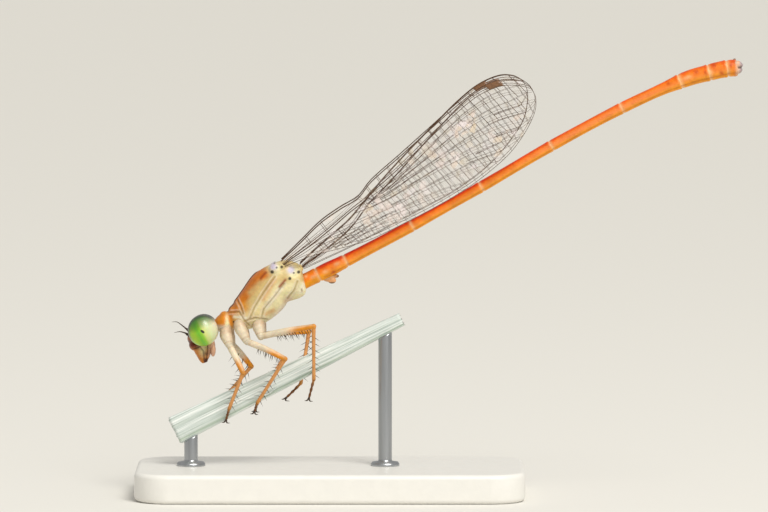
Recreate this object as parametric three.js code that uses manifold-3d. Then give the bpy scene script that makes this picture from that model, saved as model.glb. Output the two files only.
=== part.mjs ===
// A male damselfly, life size, gripping a cut length of grass blade on a display stand.
// Units are millimetres and +Z is up. The insect faces -X with its body along the XZ plane and
// its left side towards -Y. The origin is the middle of the underside of the stand's base.

import * as THREE from 'three';
import { mergeVertices } from 'three/addons/utils/BufferGeometryUtils.js';
import Module from 'manifold-3d';

const wasm = await Module();
wasm.setup();

// Clearance that neighbouring pieces keep
const GAP = 0.3;

// Stand
const BASE = { length: 24, width: 11, height: 1.8, corner: 2.2, bevel: 0.25 };
const ROD = { radius: 0.5, xFront: -8.6, xRear: 3.4, sides: 16 };

// Cut length of grass blade, from its thick low end to its thin high end
const BLADE = {
  start: { x: -9.6, z: 4.12 },
  end: { x: 4.4, z: 10.95 },
  heightStart: 1.72,
  heightEnd: 0.84,
  thickness: 0.56,
  steps: 10,
};

// Head: middle between the eyes, how far it leans over, and the eyes' half sizes
const HEAD = { x: -7.82, z: 10.22, roll: -4, halfWidth: 0.86 };
const EYE = { y: 1.16, halfX: 0.93, halfY: 0.86, halfZ: 0.97 };
const ANTENNA = { y: 0.42, spread: 0.12, radius: 0.25, tip: 0.09, steps: 7 };

// Head pieces, measured from the middle of the head. Skull: share of the half width across,
// half depth, above, below, forward shift. Mouthparts: x, z, half length behind and in front,
// half width.
const SKULL_STATIONS = [
  [-1, 0.5, 0.6, 0.66, -0.12],
  [-0.8, 0.6, 0.72, 0.76, -0.16],
  [-0.35, 0.52, 0.72, 0.8, -0.26],
  [0.35, 0.52, 0.72, 0.8, -0.26],
  [0.8, 0.6, 0.72, 0.76, -0.16],
  [1, 0.5, 0.6, 0.66, -0.12],
];
const MOUTH_STATIONS = [
  [0, -0.5, 0.55, 0.6, 0.72],
  [0, -0.88, 0.62, 0.74, 0.68],
  [-0.04, -1.19, 0.6, 0.7, 0.6],
  [-0.02, -1.49, 0.5, 0.53, 0.5],
  [0.01, -1.8, 0.33, 0.34, 0.38],
  [0.12, -2.06, 0.15, 0.15, 0.2],
];
const NOSE = { centre: [-0.6, 0, -0.6], half: [0.38, 0.72, 0.42], segments: 14 };
const CLYPEUS = { centre: [-0.46, 0, -1.0], half: [0.36, 0.6, 0.42], segments: 12 };
const LABIUM = { centre: [0.42, 0, -1.02], half: [0.26, 0.44, 0.5], segments: 10 };
const ANTENNA_ROOM = { centre: [-0.2, 0, -0.2], half: [0.98, 1.1, 1.06], segments: 20 };
const EYE_CLEARANCE = 0.24;
const NECK = { from: [-7.62, 0, 10.42], to: [-7.0, 0, 10.55], radius: 0.26 };

// Thorax: its long axis climbs to the rear
const THORAX = { x: -6.05, z: 10.56, pitch: 35.5, squareness: 2.35 };
const WING_PLATES = {
  fore: { centre: [-3.35, 0.72, 14.05], half: [0.42, 0.36, 0.38], segments: 10 },
  hind: { centre: [-2.2, 0.58, 13.72], half: [0.4, 0.34, 0.4], segments: 10 },
};

// Wings folded over the back, the fore pair outside the hind pair
const WING_THICKNESS = 0.5;
const VEIN_HEIGHT = 0.1;
const WING_PAIRS = {
  fore: { x: -2.9, z: 14.38, pitch: 33.3, rootY: 0.86, restY: 1.22, settle: 1.2 },
  hind: { x: -1.73, z: 14.2, pitch: 37, rootY: 0.5, restY: 0.4, settle: 2.4 },
};

// Abdomen: joints between its ten rings, from the thorax to the tip, with the diameter there,
// and the diameter at each ring's middle
const ABDOMEN_JOINTS = [
  { x: -1.6, z: 13.21, size: 0.93 },
  { x: -0.74, z: 13.64, size: 0.93 },
  { x: 0.99, z: 14.51, size: 0.82 },
  { x: 5.06, z: 16.67, size: 0.74 },
  { x: 9.32, z: 19.07, size: 0.71 },
  { x: 13.64, z: 21.6, size: 0.71 },
  { x: 17.96, z: 23.92, size: 0.72 },
  { x: 21.54, z: 25.56, size: 0.95 },
  { x: 23.33, z: 26.11, size: 1.05 },
  { x: 24.44, z: 26.36, size: 1.07 },
  { x: 25.08, z: 26.4, size: 0.98 },
];
const ABDOMEN_WAISTS = [0.95, 0.96, 0.75, 0.66, 0.67, 0.68, 0.71, 1.01, 1.06, 1.05];
const ABDOMEN_SOCKET = 0.75;
const GENITAL_LOBE = { centre: [0, 0, 13.42], half: [0.5, 0.2, 0.34], segments: 10 };
const CLASPERS = {
  y: 0.2,
  upper: { from: [24.85, 26.56], to: [25.42, 26.6], radii: [0.2, 0.16] },
  lower: { from: [24.85, 26.2], to: [25.36, 26.3], radii: [0.2, 0.12] },
};

// Legs: each point is [x, y, z] at the hip, the trochanter, the knee, the ankle and the claws
const LEGS = {
  front_left: [
    [-6.42, -0.6, 10.0], [-6.2, -0.9, 9.35], [-5.34, -1.75, 7.73],
    [-6.22, -1.05, 5.42], [-6.42, -0.84, 4.68],
  ],
  middle_left: [
    [-5.56, -0.72, 10.5], [-5.1, -1.05, 9.6], [-2.75, -2.2, 8.63],
    [-4.48, -1.1, 5.8], [-4.66, -0.84, 5.2],
  ],
  hind_left: [
    [-4.4, -0.72, 10.55], [-4.25, -1.05, 9.9], [-0.99, -2.3, 10.64],
    [-0.99, -1.3, 7.28], [-1.3, -0.96, 6.03],
  ],
  front_right: [
    [-6.3, 0.6, 10.0], [-6.08, 0.9, 9.25], [-4.91, 1.9, 7.78],
    [-6.23, 1.1, 6.28], [-6.54, 0.86, 5.6],
  ],
  middle_right: [
    [-5.49, 0.72, 10.4], [-5.14, 1.05, 9.4], [-2.9, 2.2, 8.25],
    [-4.4, 1.1, 5.92], [-4.6, 0.86, 5.3],
  ],
  hind_right: [
    [-4.33, 0.72, 10.5], [-4.2, 1.05, 9.8], [-1.33, 2.3, 9.92],
    [-1.82, 1.2, 6.8], [-2.7, 0.96, 6.0],
  ],
};
const COXA = { top: 0.4, bottom: 0.3 };
const FEMUR = { hip: 0.27, middle: 0.25, knee: 0.27 };
const TIBIA = { knee: 0.25, ankle: 0.25 };
const TARSUS = { ankle: 0.25, tip: 0.12, claw: 0.34 };
const SPINE = { length: 0.42, radius: 0.075, sunk: 0.16, lean: 0.35, sides: 4 };
const FEMUR_SPINES = { perMillimetre: 1.7, spread: 0.7 };
const TIBIA_SPINES = { perMillimetre: 2, spread: 1.25 };

const AXIS_X = new THREE.Vector3(1, 0, 0);
const AXIS_Y = new THREE.Vector3(0, 1, 0);
const { lerp, degToRad, smoothstep } = THREE.MathUtils;

function finish(color, roughness = 0.5, metalness = 0) {
  return new THREE.MeshStandardMaterial({ color, roughness, metalness });
}

const FINISHES = {
  eye: () => finish(0x8cb428, 0.18),
  head: () => finish(0xb06a26, 0.45),
  antenna: () => finish(0x6b4a1c, 0.5),
  thorax: () => finish(0xe0bc80, 0.42),
  leg: () => finish(0xe2a060, 0.4),
  foot: () => finish(0x7a4a1c, 0.5),
  abdomen: () => finish(0xf07814, 0.32),
  wing: () => finish(0xc8b88c, 0.25),
  grass: () => finish(0xcdd7c4, 0.7),
  base: () => finish(0xe9e7e1, 0.35),
  rod: () => finish(0xb9bcc0, 0.28, 0.9),
};

// Closed triangle mesh to a solid and back. The largest closed surface is what a node keeps.
function toSolid(geometry) {
  const bare = geometry.clone();
  bare.deleteAttribute('normal');
  bare.deleteAttribute('uv');
  const merged = mergeVertices(bare, 1e-4);
  const vertProperties = new Float32Array(merged.attributes.position.array);
  const triVerts = new Uint32Array(merged.index.array);
  return new wasm.Manifold(new wasm.Mesh({ numProp: 3, vertProperties, triVerts }));
}

function toGeometry(solid) {
  const pieces = solid.decompose();
  pieces.sort((a, b) => b.volume() - a.volume());
  const mesh = pieces[0].getMesh();
  const geometry = new THREE.BufferGeometry();
  geometry.setAttribute('position', new THREE.BufferAttribute(mesh.vertProperties, 3));
  geometry.setIndex(new THREE.BufferAttribute(mesh.triVerts, 1));
  geometry.computeVertexNormals();
  return geometry;
}

function join(geometries) {
  return geometries.map(toSolid).reduce((whole, piece) => whole.add(piece));
}

const model = new THREE.Group();

function addNode(name, geometry, material) {
  const mesh = new THREE.Mesh(geometry, material);
  mesh.name = name;
  model.add(mesh);
}

// A closed body swept through stations. Each station has a centre, half sizes above and below
// it and a half width; squareness 2 is an ellipse and more is boxier. `across` is the direction
// of the width, the same at every station.
function sweep(stations, { sides = 12, squareness = 2, across = AXIS_Y } = {}) {
  const last = stations.length - 1;
  const geometry = new THREE.CylinderGeometry(1, 1, 1, sides, last);
  const position = geometry.attributes.position;
  const point = new THREE.Vector3();
  for (let i = 0; i < position.count; i += 1) {
    point.fromBufferAttribute(position, i);
    const index = Math.round((0.5 - point.y) * last);
    const station = stations[index];
    const before = stations[Math.max(index - 1, 0)].at;
    const after = stations[Math.min(index + 1, last)].at;
    const along = after.clone().sub(before).normalize();
    const up = along.clone().cross(across).normalize();
    const width = up.clone().cross(along);
    const radius = Math.hypot(point.x, point.z);
    const angle = Math.atan2(point.z, point.x);
    const bulge = (value) => Math.sign(value) * Math.abs(value) ** (2 / squareness);
    const height = point.z > 0 ? station.up : station.down;
    const offsetUp = radius < 0.5 ? 0 : bulge(Math.sin(angle)) * height;
    const offsetWide = radius < 0.5 ? 0 : bulge(Math.cos(angle)) * station.wide;
    point.copy(station.at).addScaledVector(up, offsetUp).addScaledVector(width, offsetWide);
    position.setXYZ(i, point.x, point.y, point.z);
  }
  return geometry;
}

function round(at, radius) {
  return { at, up: radius, down: radius, wide: radius };
}

// A round limb through points, pulled back by a clearance at each end, with softened ends
function limb(from, to, radii, { clearStart = GAP / 2, clearEnd = GAP / 2, sides = 8 } = {}) {
  const along = to.clone().sub(from);
  const length = along.length();
  along.normalize();
  const start = from.clone().addScaledVector(along, clearStart);
  const span = length - clearStart - clearEnd;
  const shoulder = 0.12 / span;
  const stations = [round(start.clone(), radii[0] * 0.72)];
  radii.forEach((radius, i) => {
    const t = lerp(shoulder, 1 - shoulder, i / (radii.length - 1));
    stations.push(round(start.clone().addScaledVector(along, span * t), radius));
  });
  stations.push(round(start.clone().addScaledVector(along, span), radii[radii.length - 1] * 0.72));
  const across = Math.abs(along.y) > 0.8 ? AXIS_X : AXIS_Y;
  return sweep(stations, { sides, across });
}

function ball({ centre, half, segments }, side = 1) {
  const geometry = new THREE.SphereGeometry(1, segments, Math.round(segments * 0.6));
  geometry.scale(...half);
  geometry.translate(centre[0], centre[1] * side, centre[2]);
  return geometry;
}

function box(x, y, z, sizeX, sizeY, sizeZ) {
  const geometry = new THREE.BoxGeometry(sizeX, sizeY, sizeZ);
  geometry.translate(x, y, z);
  return geometry;
}

// Stand: a plain base with softened edges, and two rods whose tops follow the blade's slope
const bladeSlope = (BLADE.end.z - BLADE.start.z) / (BLADE.end.x - BLADE.start.x);
const bladeTilt = Math.atan(bladeSlope);

function bladeCentre(x) {
  return BLADE.start.z + (x - BLADE.start.x) * bladeSlope;
}

function bladeHeight(x) {
  const t = (x - BLADE.start.x) / (BLADE.end.x - BLADE.start.x);
  return lerp(BLADE.heightStart, BLADE.heightEnd, t);
}

function makeBase() {
  const halfL = BASE.length / 2 - BASE.bevel;
  const halfW = BASE.width / 2 - BASE.bevel;
  const r = BASE.corner;
  const outline = new THREE.Shape();
  outline.moveTo(-halfL + r, -halfW);
  outline.lineTo(halfL - r, -halfW);
  outline.absarc(halfL - r, -halfW + r, r, -Math.PI / 2, 0);
  outline.absarc(halfL - r, halfW - r, r, 0, Math.PI / 2);
  outline.absarc(-halfL + r, halfW - r, r, Math.PI / 2, Math.PI);
  outline.absarc(-halfL + r, -halfW + r, r, Math.PI, Math.PI * 1.5);
  const geometry = new THREE.ExtrudeGeometry(outline, {
    depth: BASE.height - 2 * BASE.bevel,
    bevelThickness: BASE.bevel,
    bevelSize: BASE.bevel,
    bevelSegments: 1,
    curveSegments: 6,
  });
  geometry.translate(0, 0, BASE.bevel);
  return geometry;
}

function makeRod(x) {
  const bottom = BASE.height + GAP;
  const bladeUnderside = bladeCentre(x) - bladeHeight(x) / 2 / Math.cos(bladeTilt);
  const top = bladeUnderside - GAP;
  const geometry = new THREE.CylinderGeometry(ROD.radius, ROD.radius, 1, ROD.sides, 1);
  geometry.rotateX(Math.PI / 2);
  const position = geometry.attributes.position;
  for (let i = 0; i < position.count; i += 1) {
    const offset = position.getX(i);
    const z = position.getZ(i) > 0 ? top + offset * bladeSlope : bottom;
    position.setXYZ(i, x + offset, position.getY(i), z);
  }
  return geometry;
}

function makeBlade() {
  const stations = [];
  for (let i = 0; i <= BLADE.steps; i += 1) {
    const x = lerp(BLADE.start.x, BLADE.end.x, i / BLADE.steps);
    const half = bladeHeight(x) / 2;
    stations.push({
      at: new THREE.Vector3(x, 0, bladeCentre(x)),
      up: half,
      down: half,
      wide: BLADE.thickness / 2,
    });
  }
  return sweep(stations, { sides: 12, squareness: 3 });
}

addNode('stand_base', makeBase(), FINISHES.base());
addNode('stand_rod_front', makeRod(ROD.xFront), FINISHES.rod());
addNode('stand_rod_rear', makeRod(ROD.xRear), FINISHES.rod());
addNode('perch_blade', makeBlade(), FINISHES.grass());

// Thorax. Stations run along its axis; up and down are measured square to that axis.
const thoraxAlong = new THREE.Vector3(
  Math.cos(degToRad(THORAX.pitch)), 0, Math.sin(degToRad(THORAX.pitch)));

function onThorax(along, up, side = 0) {
  return new THREE.Vector3(THORAX.x, side, THORAX.z)
    .addScaledVector(thoraxAlong, along)
    .addScaledVector(new THREE.Vector3(-thoraxAlong.z, 0, thoraxAlong.x), up);
}

const THORAX_STATIONS = [
  // along, top, bottom, half width
  [0.12, 0.72, -0.05, 0.42],
  [0.3, 0.98, -0.35, 0.66],
  [0.75, 1.1, -0.8, 0.86],
  [1.4, 1.24, -1.04, 1.02],
  [2.1, 1.45, -1.12, 1.12],
  [2.7, 1.64, -1.08, 1.16],
  [3.2, 1.78, -0.92, 1.16],
  [3.75, 1.72, -0.76, 1.14],
  [4.25, 1.64, -0.94, 1.08],
  [4.75, 1.22, -1.16, 0.96],
  [5.1, 0.82, -1.12, 0.78],
];

function makeThoraxBody() {
  const stations = THORAX_STATIONS.map(([along, top, bottom, wide]) => {
    const middle = (top + bottom) / 2;
    const half = (top - bottom) / 2;
    return { at: onThorax(along, middle), up: half, down: half, wide };
  });
  return sweep(stations, { sides: 20, squareness: THORAX.squareness });
}

// Raised plates that carry the wing roots, on both sides
function makeWingPlates() {
  const plates = [];
  for (const side of [-1, 1]) {
    plates.push(ball(WING_PLATES.fore, side));
    plates.push(ball(WING_PLATES.hind, side));
  }
  return plates;
}

// The room that a leg's coxa needs in the body above it
function coxaRoom(points) {
  const hip = new THREE.Vector3(...points[0]);
  const trochanter = new THREE.Vector3(...points[1]);
  const radii = [COXA.top + GAP, COXA.bottom + GAP];
  return limb(hip, trochanter, radii, { clearStart: -GAP, clearEnd: 0, sides: 12 });
}

function makeAbdomenRoom() {
  const start = ABDOMEN_JOINTS[0];
  const next = ABDOMEN_JOINTS[1];
  const from = new THREE.Vector3(start.x, 0, start.z);
  const to = new THREE.Vector3(next.x, 0, next.z);
  const radii = [ABDOMEN_SOCKET, ABDOMEN_SOCKET];
  return limb(from, to, radii, { clearStart: 0, clearEnd: 0, sides: 16 });
}

let synthorax = join([makeThoraxBody(), ...makeWingPlates()]);
for (const name of ['middle_left', 'middle_right', 'hind_left', 'hind_right']) {
  synthorax = synthorax.subtract(toSolid(coxaRoom(LEGS[name])));
}
synthorax = synthorax.subtract(toSolid(makeAbdomenRoom()));
addNode('synthorax', toGeometry(synthorax), FINISHES.thorax());

// Prothorax: a short collar in front of the big thorax, with a raised rear lobe
const PROTHORAX_STATIONS = [
  [-7.0, 10.55, 0.3, 0.34, 0.34],
  [-6.86, 10.58, 0.46, 0.5, 0.52],
  [-6.66, 10.6, 0.6, 0.56, 0.64],
  [-6.46, 10.66, 0.66, 0.54, 0.66],
  [-6.3, 10.72, 0.58, 0.44, 0.58],
];

function makeProthorax() {
  const stations = PROTHORAX_STATIONS.map(([x, z, up, down, wide]) => (
    { at: new THREE.Vector3(x, 0, z), up, down, wide }));
  return sweep(stations, { sides: 16, squareness: 2.2 });
}

const thoraxRoom = makeThoraxBody();
let prothorax = toSolid(makeProthorax());
for (const name of ['front_left', 'front_right']) {
  prothorax = prothorax.subtract(toSolid(coxaRoom(LEGS[name])));
}
const thoraxShift = toSolid(thoraxRoom).translate([-GAP * 0.85, 0, -GAP * 0.5]);
prothorax = prothorax.subtract(thoraxShift).subtract(toSolid(thoraxRoom));
addNode('prothorax', toGeometry(prothorax), FINISHES.thorax());

addNode('neck', limb(
  new THREE.Vector3(...NECK.from),
  new THREE.Vector3(...NECK.to),
  [NECK.radius, NECK.radius],
  { clearStart: GAP / 2, clearEnd: GAP * 0.8, sides: 10 },
), FINISHES.thorax());

// Head and eyes, made upright round the middle of the head, then leaned over and set in place
function placeOnHead(geometry) {
  geometry.rotateX(degToRad(HEAD.roll));
  geometry.translate(HEAD.x, 0, HEAD.z);
  return geometry;
}

function makeHead() {
  const skull = sweep(SKULL_STATIONS.map(([across, wide, up, down, x]) => (
    { at: new THREE.Vector3(x, across * HEAD.halfWidth, 0), up, down, wide }
  )), { sides: 16, across: AXIS_X });
  // The frons and clypeus make a blunt nose; the mouthparts taper down and back below it
  const mouth = sweep(MOUTH_STATIONS.map(([x, z, up, down, wide]) => (
    { at: new THREE.Vector3(x, 0, z), up, down, wide }
  )), { sides: 12, squareness: 2.3 });
  return join([skull, ball(NOSE), ball(CLYPEUS), mouth, ball(LABIUM)]);
}

// An eye-shaped solid grown by a clearance, kept only outside a plane on its inner side
function eyeForm(side, grown, inner, segments) {
  const half = [EYE.halfX + grown, EYE.halfY + grown, EYE.halfZ + grown];
  const whole = ball({ centre: [0, EYE.y, 0], half, segments }, side);
  const keep = box(0, side * (inner + 1), 0, 4, 2, 4);
  return toSolid(whole).intersect(toSolid(keep));
}

// The eyes' faces and the head's sides are flat and parallel; the mouthparts pass beneath
const eyeRoom = [-1, 1].map((side) => eyeForm(side, EYE_CLEARANCE, HEAD.halfWidth, 20));
const makeEye = (side) => eyeForm(side, 0, HEAD.halfWidth + GAP, 26);
const head = makeHead().subtract(eyeRoom[0]).subtract(eyeRoom[1]);
addNode('head', placeOnHead(toGeometry(head)), FINISHES.head());
addNode('eye_left', placeOnHead(toGeometry(makeEye(-1))), FINISHES.eye());
addNode('eye_right', placeOnHead(toGeometry(makeEye(1))), FINISHES.eye());

// Antennae: a stout root and a thin bent lash
const ANTENNA_ROUTES = {
  left: [[-0.6, -0.3], [-1.0, -0.22], [-1.36, -0.08], [-1.75, -0.14]],
  right: [[-0.6, -0.22], [-1.0, 0.06], [-1.5, 0.42], [-1.96, 0.48]],
};

for (const [name, route] of Object.entries(ANTENNA_ROUTES)) {
  const side = name === 'left' ? -1 : 1;
  const points = route.map(([x, z], i) => (
    new THREE.Vector3(x, side * (ANTENNA.y + ANTENNA.spread * i), z)));
  const curve = new THREE.CatmullRomCurve3(points);
  const stations = [];
  for (let i = 0; i <= ANTENNA.steps; i += 1) {
    const t = i / ANTENNA.steps;
    stations.push(round(curve.getPointAt(t), lerp(ANTENNA.radius, ANTENNA.tip, t ** 0.6)));
  }
  const lash = toSolid(sweep(stations, { sides: 8 }));
  const room = toSolid(ball(ANTENNA_ROOM));
  addNode(`antenna_${name}`, placeOnHead(toGeometry(lash.subtract(room))), FINISHES.antenna());
}

// Abdomen rings, slightly pinched at each joint
function makeRing(index) {
  const a = ABDOMEN_JOINTS[index];
  const b = ABDOMEN_JOINTS[index + 1];
  const from = new THREE.Vector3(a.x, 0, a.z);
  const to = new THREE.Vector3(b.x, 0, b.z);
  const length = from.distanceTo(to);
  const clearEnd = index === ABDOMEN_WAISTS.length - 1 ? 0 : GAP / 2;
  const startSize = a.size / 2;
  const endSize = b.size / 2;
  const waist = ABDOMEN_WAISTS[index] / 2;
  const profile = [
    [GAP / 2, startSize * 0.88],
    [GAP / 2 + 0.1, startSize],
    [length * 0.3, lerp(startSize, waist, 0.8)],
    [length * 0.5, waist],
    [length * 0.72, lerp(waist, endSize, 0.25)],
    [length - clearEnd - 0.1, endSize],
    [length - clearEnd, endSize * 0.86],
  ];
  const along = to.clone().sub(from).normalize();
  const stations = profile.map(([distance, radius]) => (
    {
      at: from.clone().addScaledVector(along, distance),
      up: radius,
      down: radius,
      wide: radius * 0.96,
    }));
  return sweep(stations, { sides: 14 });
}

// The second ring carries the male's small organ beneath, the tenth the claspers at the tip
function makeClaspers() {
  const pieces = [];
  for (const side of [-1, 1]) {
    const y = side * CLASPERS.y;
    for (const { from, to, radii } of [CLASPERS.upper, CLASPERS.lower]) {
      const start = new THREE.Vector3(from[0], y, from[1]);
      const end = new THREE.Vector3(to[0], y, to[1]);
      pieces.push(limb(start, end, radii, { clearStart: 0, clearEnd: 0, sides: 6 }));
    }
  }
  return pieces;
}

const ABDOMEN_EXTRAS = { 2: [ball(GENITAL_LOBE)], 10: makeClaspers() };

for (let i = 0; i < ABDOMEN_WAISTS.length; i += 1) {
  const number = i + 1;
  const extras = ABDOMEN_EXTRAS[number];
  const ring = makeRing(i);
  const geometry = extras ? toGeometry(join([ring, ...extras])) : ring;
  addNode(`abdomen_${number}`, geometry, FINISHES.abdomen());
}

// Wings: leading and trailing edges as [distance along the axis, offset] from root to tip.
// Each pair of points is one rib of the wing's grid.
const WING_EDGES = {
  fore: {
    leading: [[0.3, 0.26], [1.6, 0.5], [3.3, 0.84], [4.8, 0.9], [6.1, 0.86], [7.4, 1.27], [9.7, 1.6],
      [12, 1.95], [14, 2.25], [16, 2.42], [17.4, 2.15], [18.3, 1.55], [18.7, 0.75]],
    trailing: [[0.3, -0.24], [1.6, -0.5], [3.3, -1.05], [5, -1.6], [6.5, -1.85], [7.8, -2], [9.6, -2.2],
      [11.9, -2.3], [13.8, -2.2], [15.5, -1.92], [17, -1.34], [18.1, -0.65], [18.7, 0.15]],
  },
  hind: {
    leading: [[0.3, 0.25], [1.3, 0.33], [2.6, 0.42], [4.1, 0.55], [5.8, 0.95], [7.5, 1.35], [9.7, 1.75],
      [12, 2.1], [13.8, 2.35], [15.4, 2.4], [16.7, 2.1], [17.5, 1.5], [17.75, 0.95]],
    trailing: [[0.3, -0.22], [1.4, -0.5], [2.9, -0.82], [4.6, -1.1], [6.4, -1.36], [8, -1.62], [10, -1.92],
      [12, -2], [13.6, -1.85], [15.2, -1.45], [16.4, -0.96], [17.3, -0.2], [17.7, 0.45]],
  },
};

// Main veins as shares of the chord from the leading edge, each a ridge on both faces
const WING_VEINS = [0.05, 0.17, 0.34, 0.55, 0.78, 0.95];
const WING_RIBS = 26;

function makeWing(pair, side) {
  const place = WING_PAIRS[pair];
  const edges = WING_EDGES[pair];
  const curveOf = (edge) => (
    new THREE.CatmullRomCurve3(edge.map(([s, c]) => new THREE.Vector3(s, c, 0))));
  const leading = curveOf(edges.leading);
  const trailing = curveOf(edges.trailing);
  // Columns alternate between a vein's crest and the membrane between two veins
  const columns = [0];
  WING_VEINS.forEach((vein, i) => {
    columns.push(vein);
    columns.push(i + 1 < WING_VEINS.length ? (vein + WING_VEINS[i + 1]) / 2 : 1);
  });
  const geometry = new THREE.BoxGeometry(1, 1, 1, WING_RIBS, columns.length - 1, 1);
  const position = geometry.attributes.position;
  const angle = degToRad(place.pitch);
  for (let i = 0; i < position.count; i += 1) {
    const span = position.getX(i) + 0.5;
    const column = Math.round((0.5 - position.getY(i)) * (columns.length - 1));
    const face = Math.sign(position.getZ(i));
    const front = leading.getPoint(span);
    const back = trailing.getPoint(span);
    const spot = front.lerp(back, columns[column]);
    const crest = column % 2 === 1 && span > 0 && span < 1 ? VEIN_HEIGHT : 0;
    const half = WING_THICKNESS / 2 - VEIN_HEIGHT / 2 + crest;
    const bend = smoothstep(spot.x, 0.3, 0.3 + place.settle);
    const y = side * lerp(place.rootY, place.restY, bend);
    const x = place.x + spot.x * Math.cos(angle) - spot.y * Math.sin(angle);
    const z = place.z + spot.x * Math.sin(angle) + spot.y * Math.cos(angle);
    position.setXYZ(i, x, y - face * half, z);
  }
  return geometry;
}

for (const pair of ['fore', 'hind']) {
  addNode(`wing_${pair}_left`, makeWing(pair, -1), FINISHES.wing());
  addNode(`wing_${pair}_right`, makeWing(pair, 1), FINISHES.wing());
}

// Legs: coxa, femur, tibia and tarsus, the middle two with rows of bristle spines
function makeSpine(root, direction) {
  const geometry = new THREE.ConeGeometry(SPINE.radius, SPINE.length + SPINE.sunk, SPINE.sides, 1);
  geometry.translate(0, (SPINE.length + SPINE.sunk) / 2 - SPINE.sunk, 0);
  geometry.applyQuaternion(new THREE.Quaternion().setFromUnitVectors(AXIS_Y, direction));
  geometry.translate(root.x, root.y, root.z);
  return geometry;
}

// Two rows of spines along a limb, leaning towards its far end. `below` points to the side
// that the rows straddle.
function spineRows(from, to, radius, below, { perMillimetre, spread }) {
  const along = to.clone().sub(from).normalize();
  const length = from.distanceTo(to);
  const count = Math.round(length * perMillimetre);
  const flat = below.clone().addScaledVector(along, -below.dot(along)).normalize();
  const spines = [];
  for (const turn of [-spread, spread]) {
    const out = flat.clone().applyAxisAngle(along, turn);
    for (let i = 0; i < count; i += 1) {
      const step = (i + (turn > 0 ? 0.75 : 0.35)) / count;
      const distance = lerp(length * 0.16, length * 0.93, step);
      const root = from.clone().addScaledVector(along, distance).addScaledVector(out, radius * 0.9);
      const direction = out.clone().addScaledVector(along, SPINE.lean).normalize();
      spines.push(makeSpine(root, direction));
    }
  }
  return spines;
}

function addLeg(name, points) {
  const [hip, trochanter, knee, ankle, tip] = points.map((point) => new THREE.Vector3(...point));
  const coxa = limb(hip, trochanter, [COXA.top, (COXA.top + COXA.bottom) / 2, COXA.bottom],
    { clearStart: 0, sides: 10 });
  addNode(`leg_${name}_coxa`, coxa, FINISHES.leg());

  const down = new THREE.Vector3(0, 0, -1);
  const femurSpines = spineRows(trochanter, knee, FEMUR.middle, down, FEMUR_SPINES);
  const femur = limb(trochanter, knee, [FEMUR.hip, FEMUR.middle, FEMUR.knee]);
  addNode(`leg_${name}_femur`, toGeometry(join([femur, ...femurSpines])), FINISHES.leg());

  const inward = new THREE.Vector3(0, -Math.sign(knee.y), 0);
  const tibiaSpines = spineRows(knee, ankle, TIBIA.ankle, inward, TIBIA_SPINES);
  const tibia = limb(knee, ankle, [TIBIA.knee, TIBIA.ankle]);
  addNode(`leg_${name}_tibia`, toGeometry(join([tibia, ...tibiaSpines])), FINISHES.leg());

  const tarsus = limb(ankle, tip, [TARSUS.ankle, lerp(TARSUS.ankle, TARSUS.tip, 0.4), TARSUS.tip],
    { clearEnd: 0 });
  const onwards = tip.clone().sub(ankle).normalize();
  const claws = [-1, 1].map((side) => {
    const direction = onwards.clone().addScaledVector(AXIS_X, side * 0.45).normalize();
    const end = tip.clone().addScaledVector(direction, TARSUS.claw);
    return limb(tip.clone().addScaledVector(onwards, -0.14), end, [0.09, 0.05],
      { clearStart: 0, clearEnd: 0, sides: 5 });
  });
  addNode(`leg_${name}_tarsus`, toGeometry(join([tarsus, ...claws])), FINISHES.foot());
}

for (const [name, points] of Object.entries(LEGS)) {
  addLeg(name, points);
}

export default model;
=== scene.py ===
"""A male damselfly, life size, gripping a cut grass blade on a display stand.

The insect faces -X with its left side towards -Y, and +Z is up. Sizes in the tables are
millimetres, turned to Blender's metres where a mesh is made.
"""

import math
import random

import bmesh
import bpy
import numpy as np
from mathutils import Matrix, Vector


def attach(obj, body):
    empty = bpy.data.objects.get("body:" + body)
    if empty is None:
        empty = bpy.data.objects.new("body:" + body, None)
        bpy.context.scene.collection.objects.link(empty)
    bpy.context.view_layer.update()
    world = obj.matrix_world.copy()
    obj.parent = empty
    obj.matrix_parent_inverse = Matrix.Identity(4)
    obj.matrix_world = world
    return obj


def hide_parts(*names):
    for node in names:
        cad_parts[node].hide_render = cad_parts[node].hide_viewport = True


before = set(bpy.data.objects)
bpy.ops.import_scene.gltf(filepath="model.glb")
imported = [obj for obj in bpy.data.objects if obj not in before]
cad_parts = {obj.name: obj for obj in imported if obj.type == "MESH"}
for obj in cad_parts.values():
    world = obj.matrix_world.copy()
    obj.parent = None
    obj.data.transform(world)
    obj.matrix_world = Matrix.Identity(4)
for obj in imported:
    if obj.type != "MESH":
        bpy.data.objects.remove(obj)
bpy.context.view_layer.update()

MM = 0.001
SEED = 11
BODY = "root"
SIDES = {"left": -1, "right": 1}

# Camera: square to the insect's left side and slightly above it
VIEW = {"target": (3.33, 0.0, 14.8), "elevation": 4.5, "distance": 400.0, "lens": 304.0}

# Head
HEAD = {"centre": (-7.82, 0.0, 10.22), "roll": -4.0}
EYE = {"y": 1.16, "half": (0.93, 0.86, 0.97)}

# Thorax: stations run along its axis, measured square to it: along, top, bottom, half width
THORAX = {"start": (-6.05, 10.56), "pitch": 35.5, "squareness": 2.3}
THORAX_STATIONS = (
    (0.08, 0.62, 0.1, 0.34),
    (0.3, 0.96, -0.35, 0.64),
    (0.75, 1.08, -0.8, 0.86),
    (1.4, 1.22, -1.06, 1.02),
    (2.1, 1.42, -1.14, 1.12),
    (2.7, 1.62, -1.1, 1.17),
    (3.2, 1.76, -0.95, 1.17),
    (3.75, 1.7, -0.82, 1.14),
    (4.25, 1.56, -1.0, 1.08),
    (4.75, 1.2, -1.18, 0.96),
    (5.14, 0.84, -1.12, 0.78),
    (5.3, 0.4, -0.8, 0.4),
)

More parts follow.
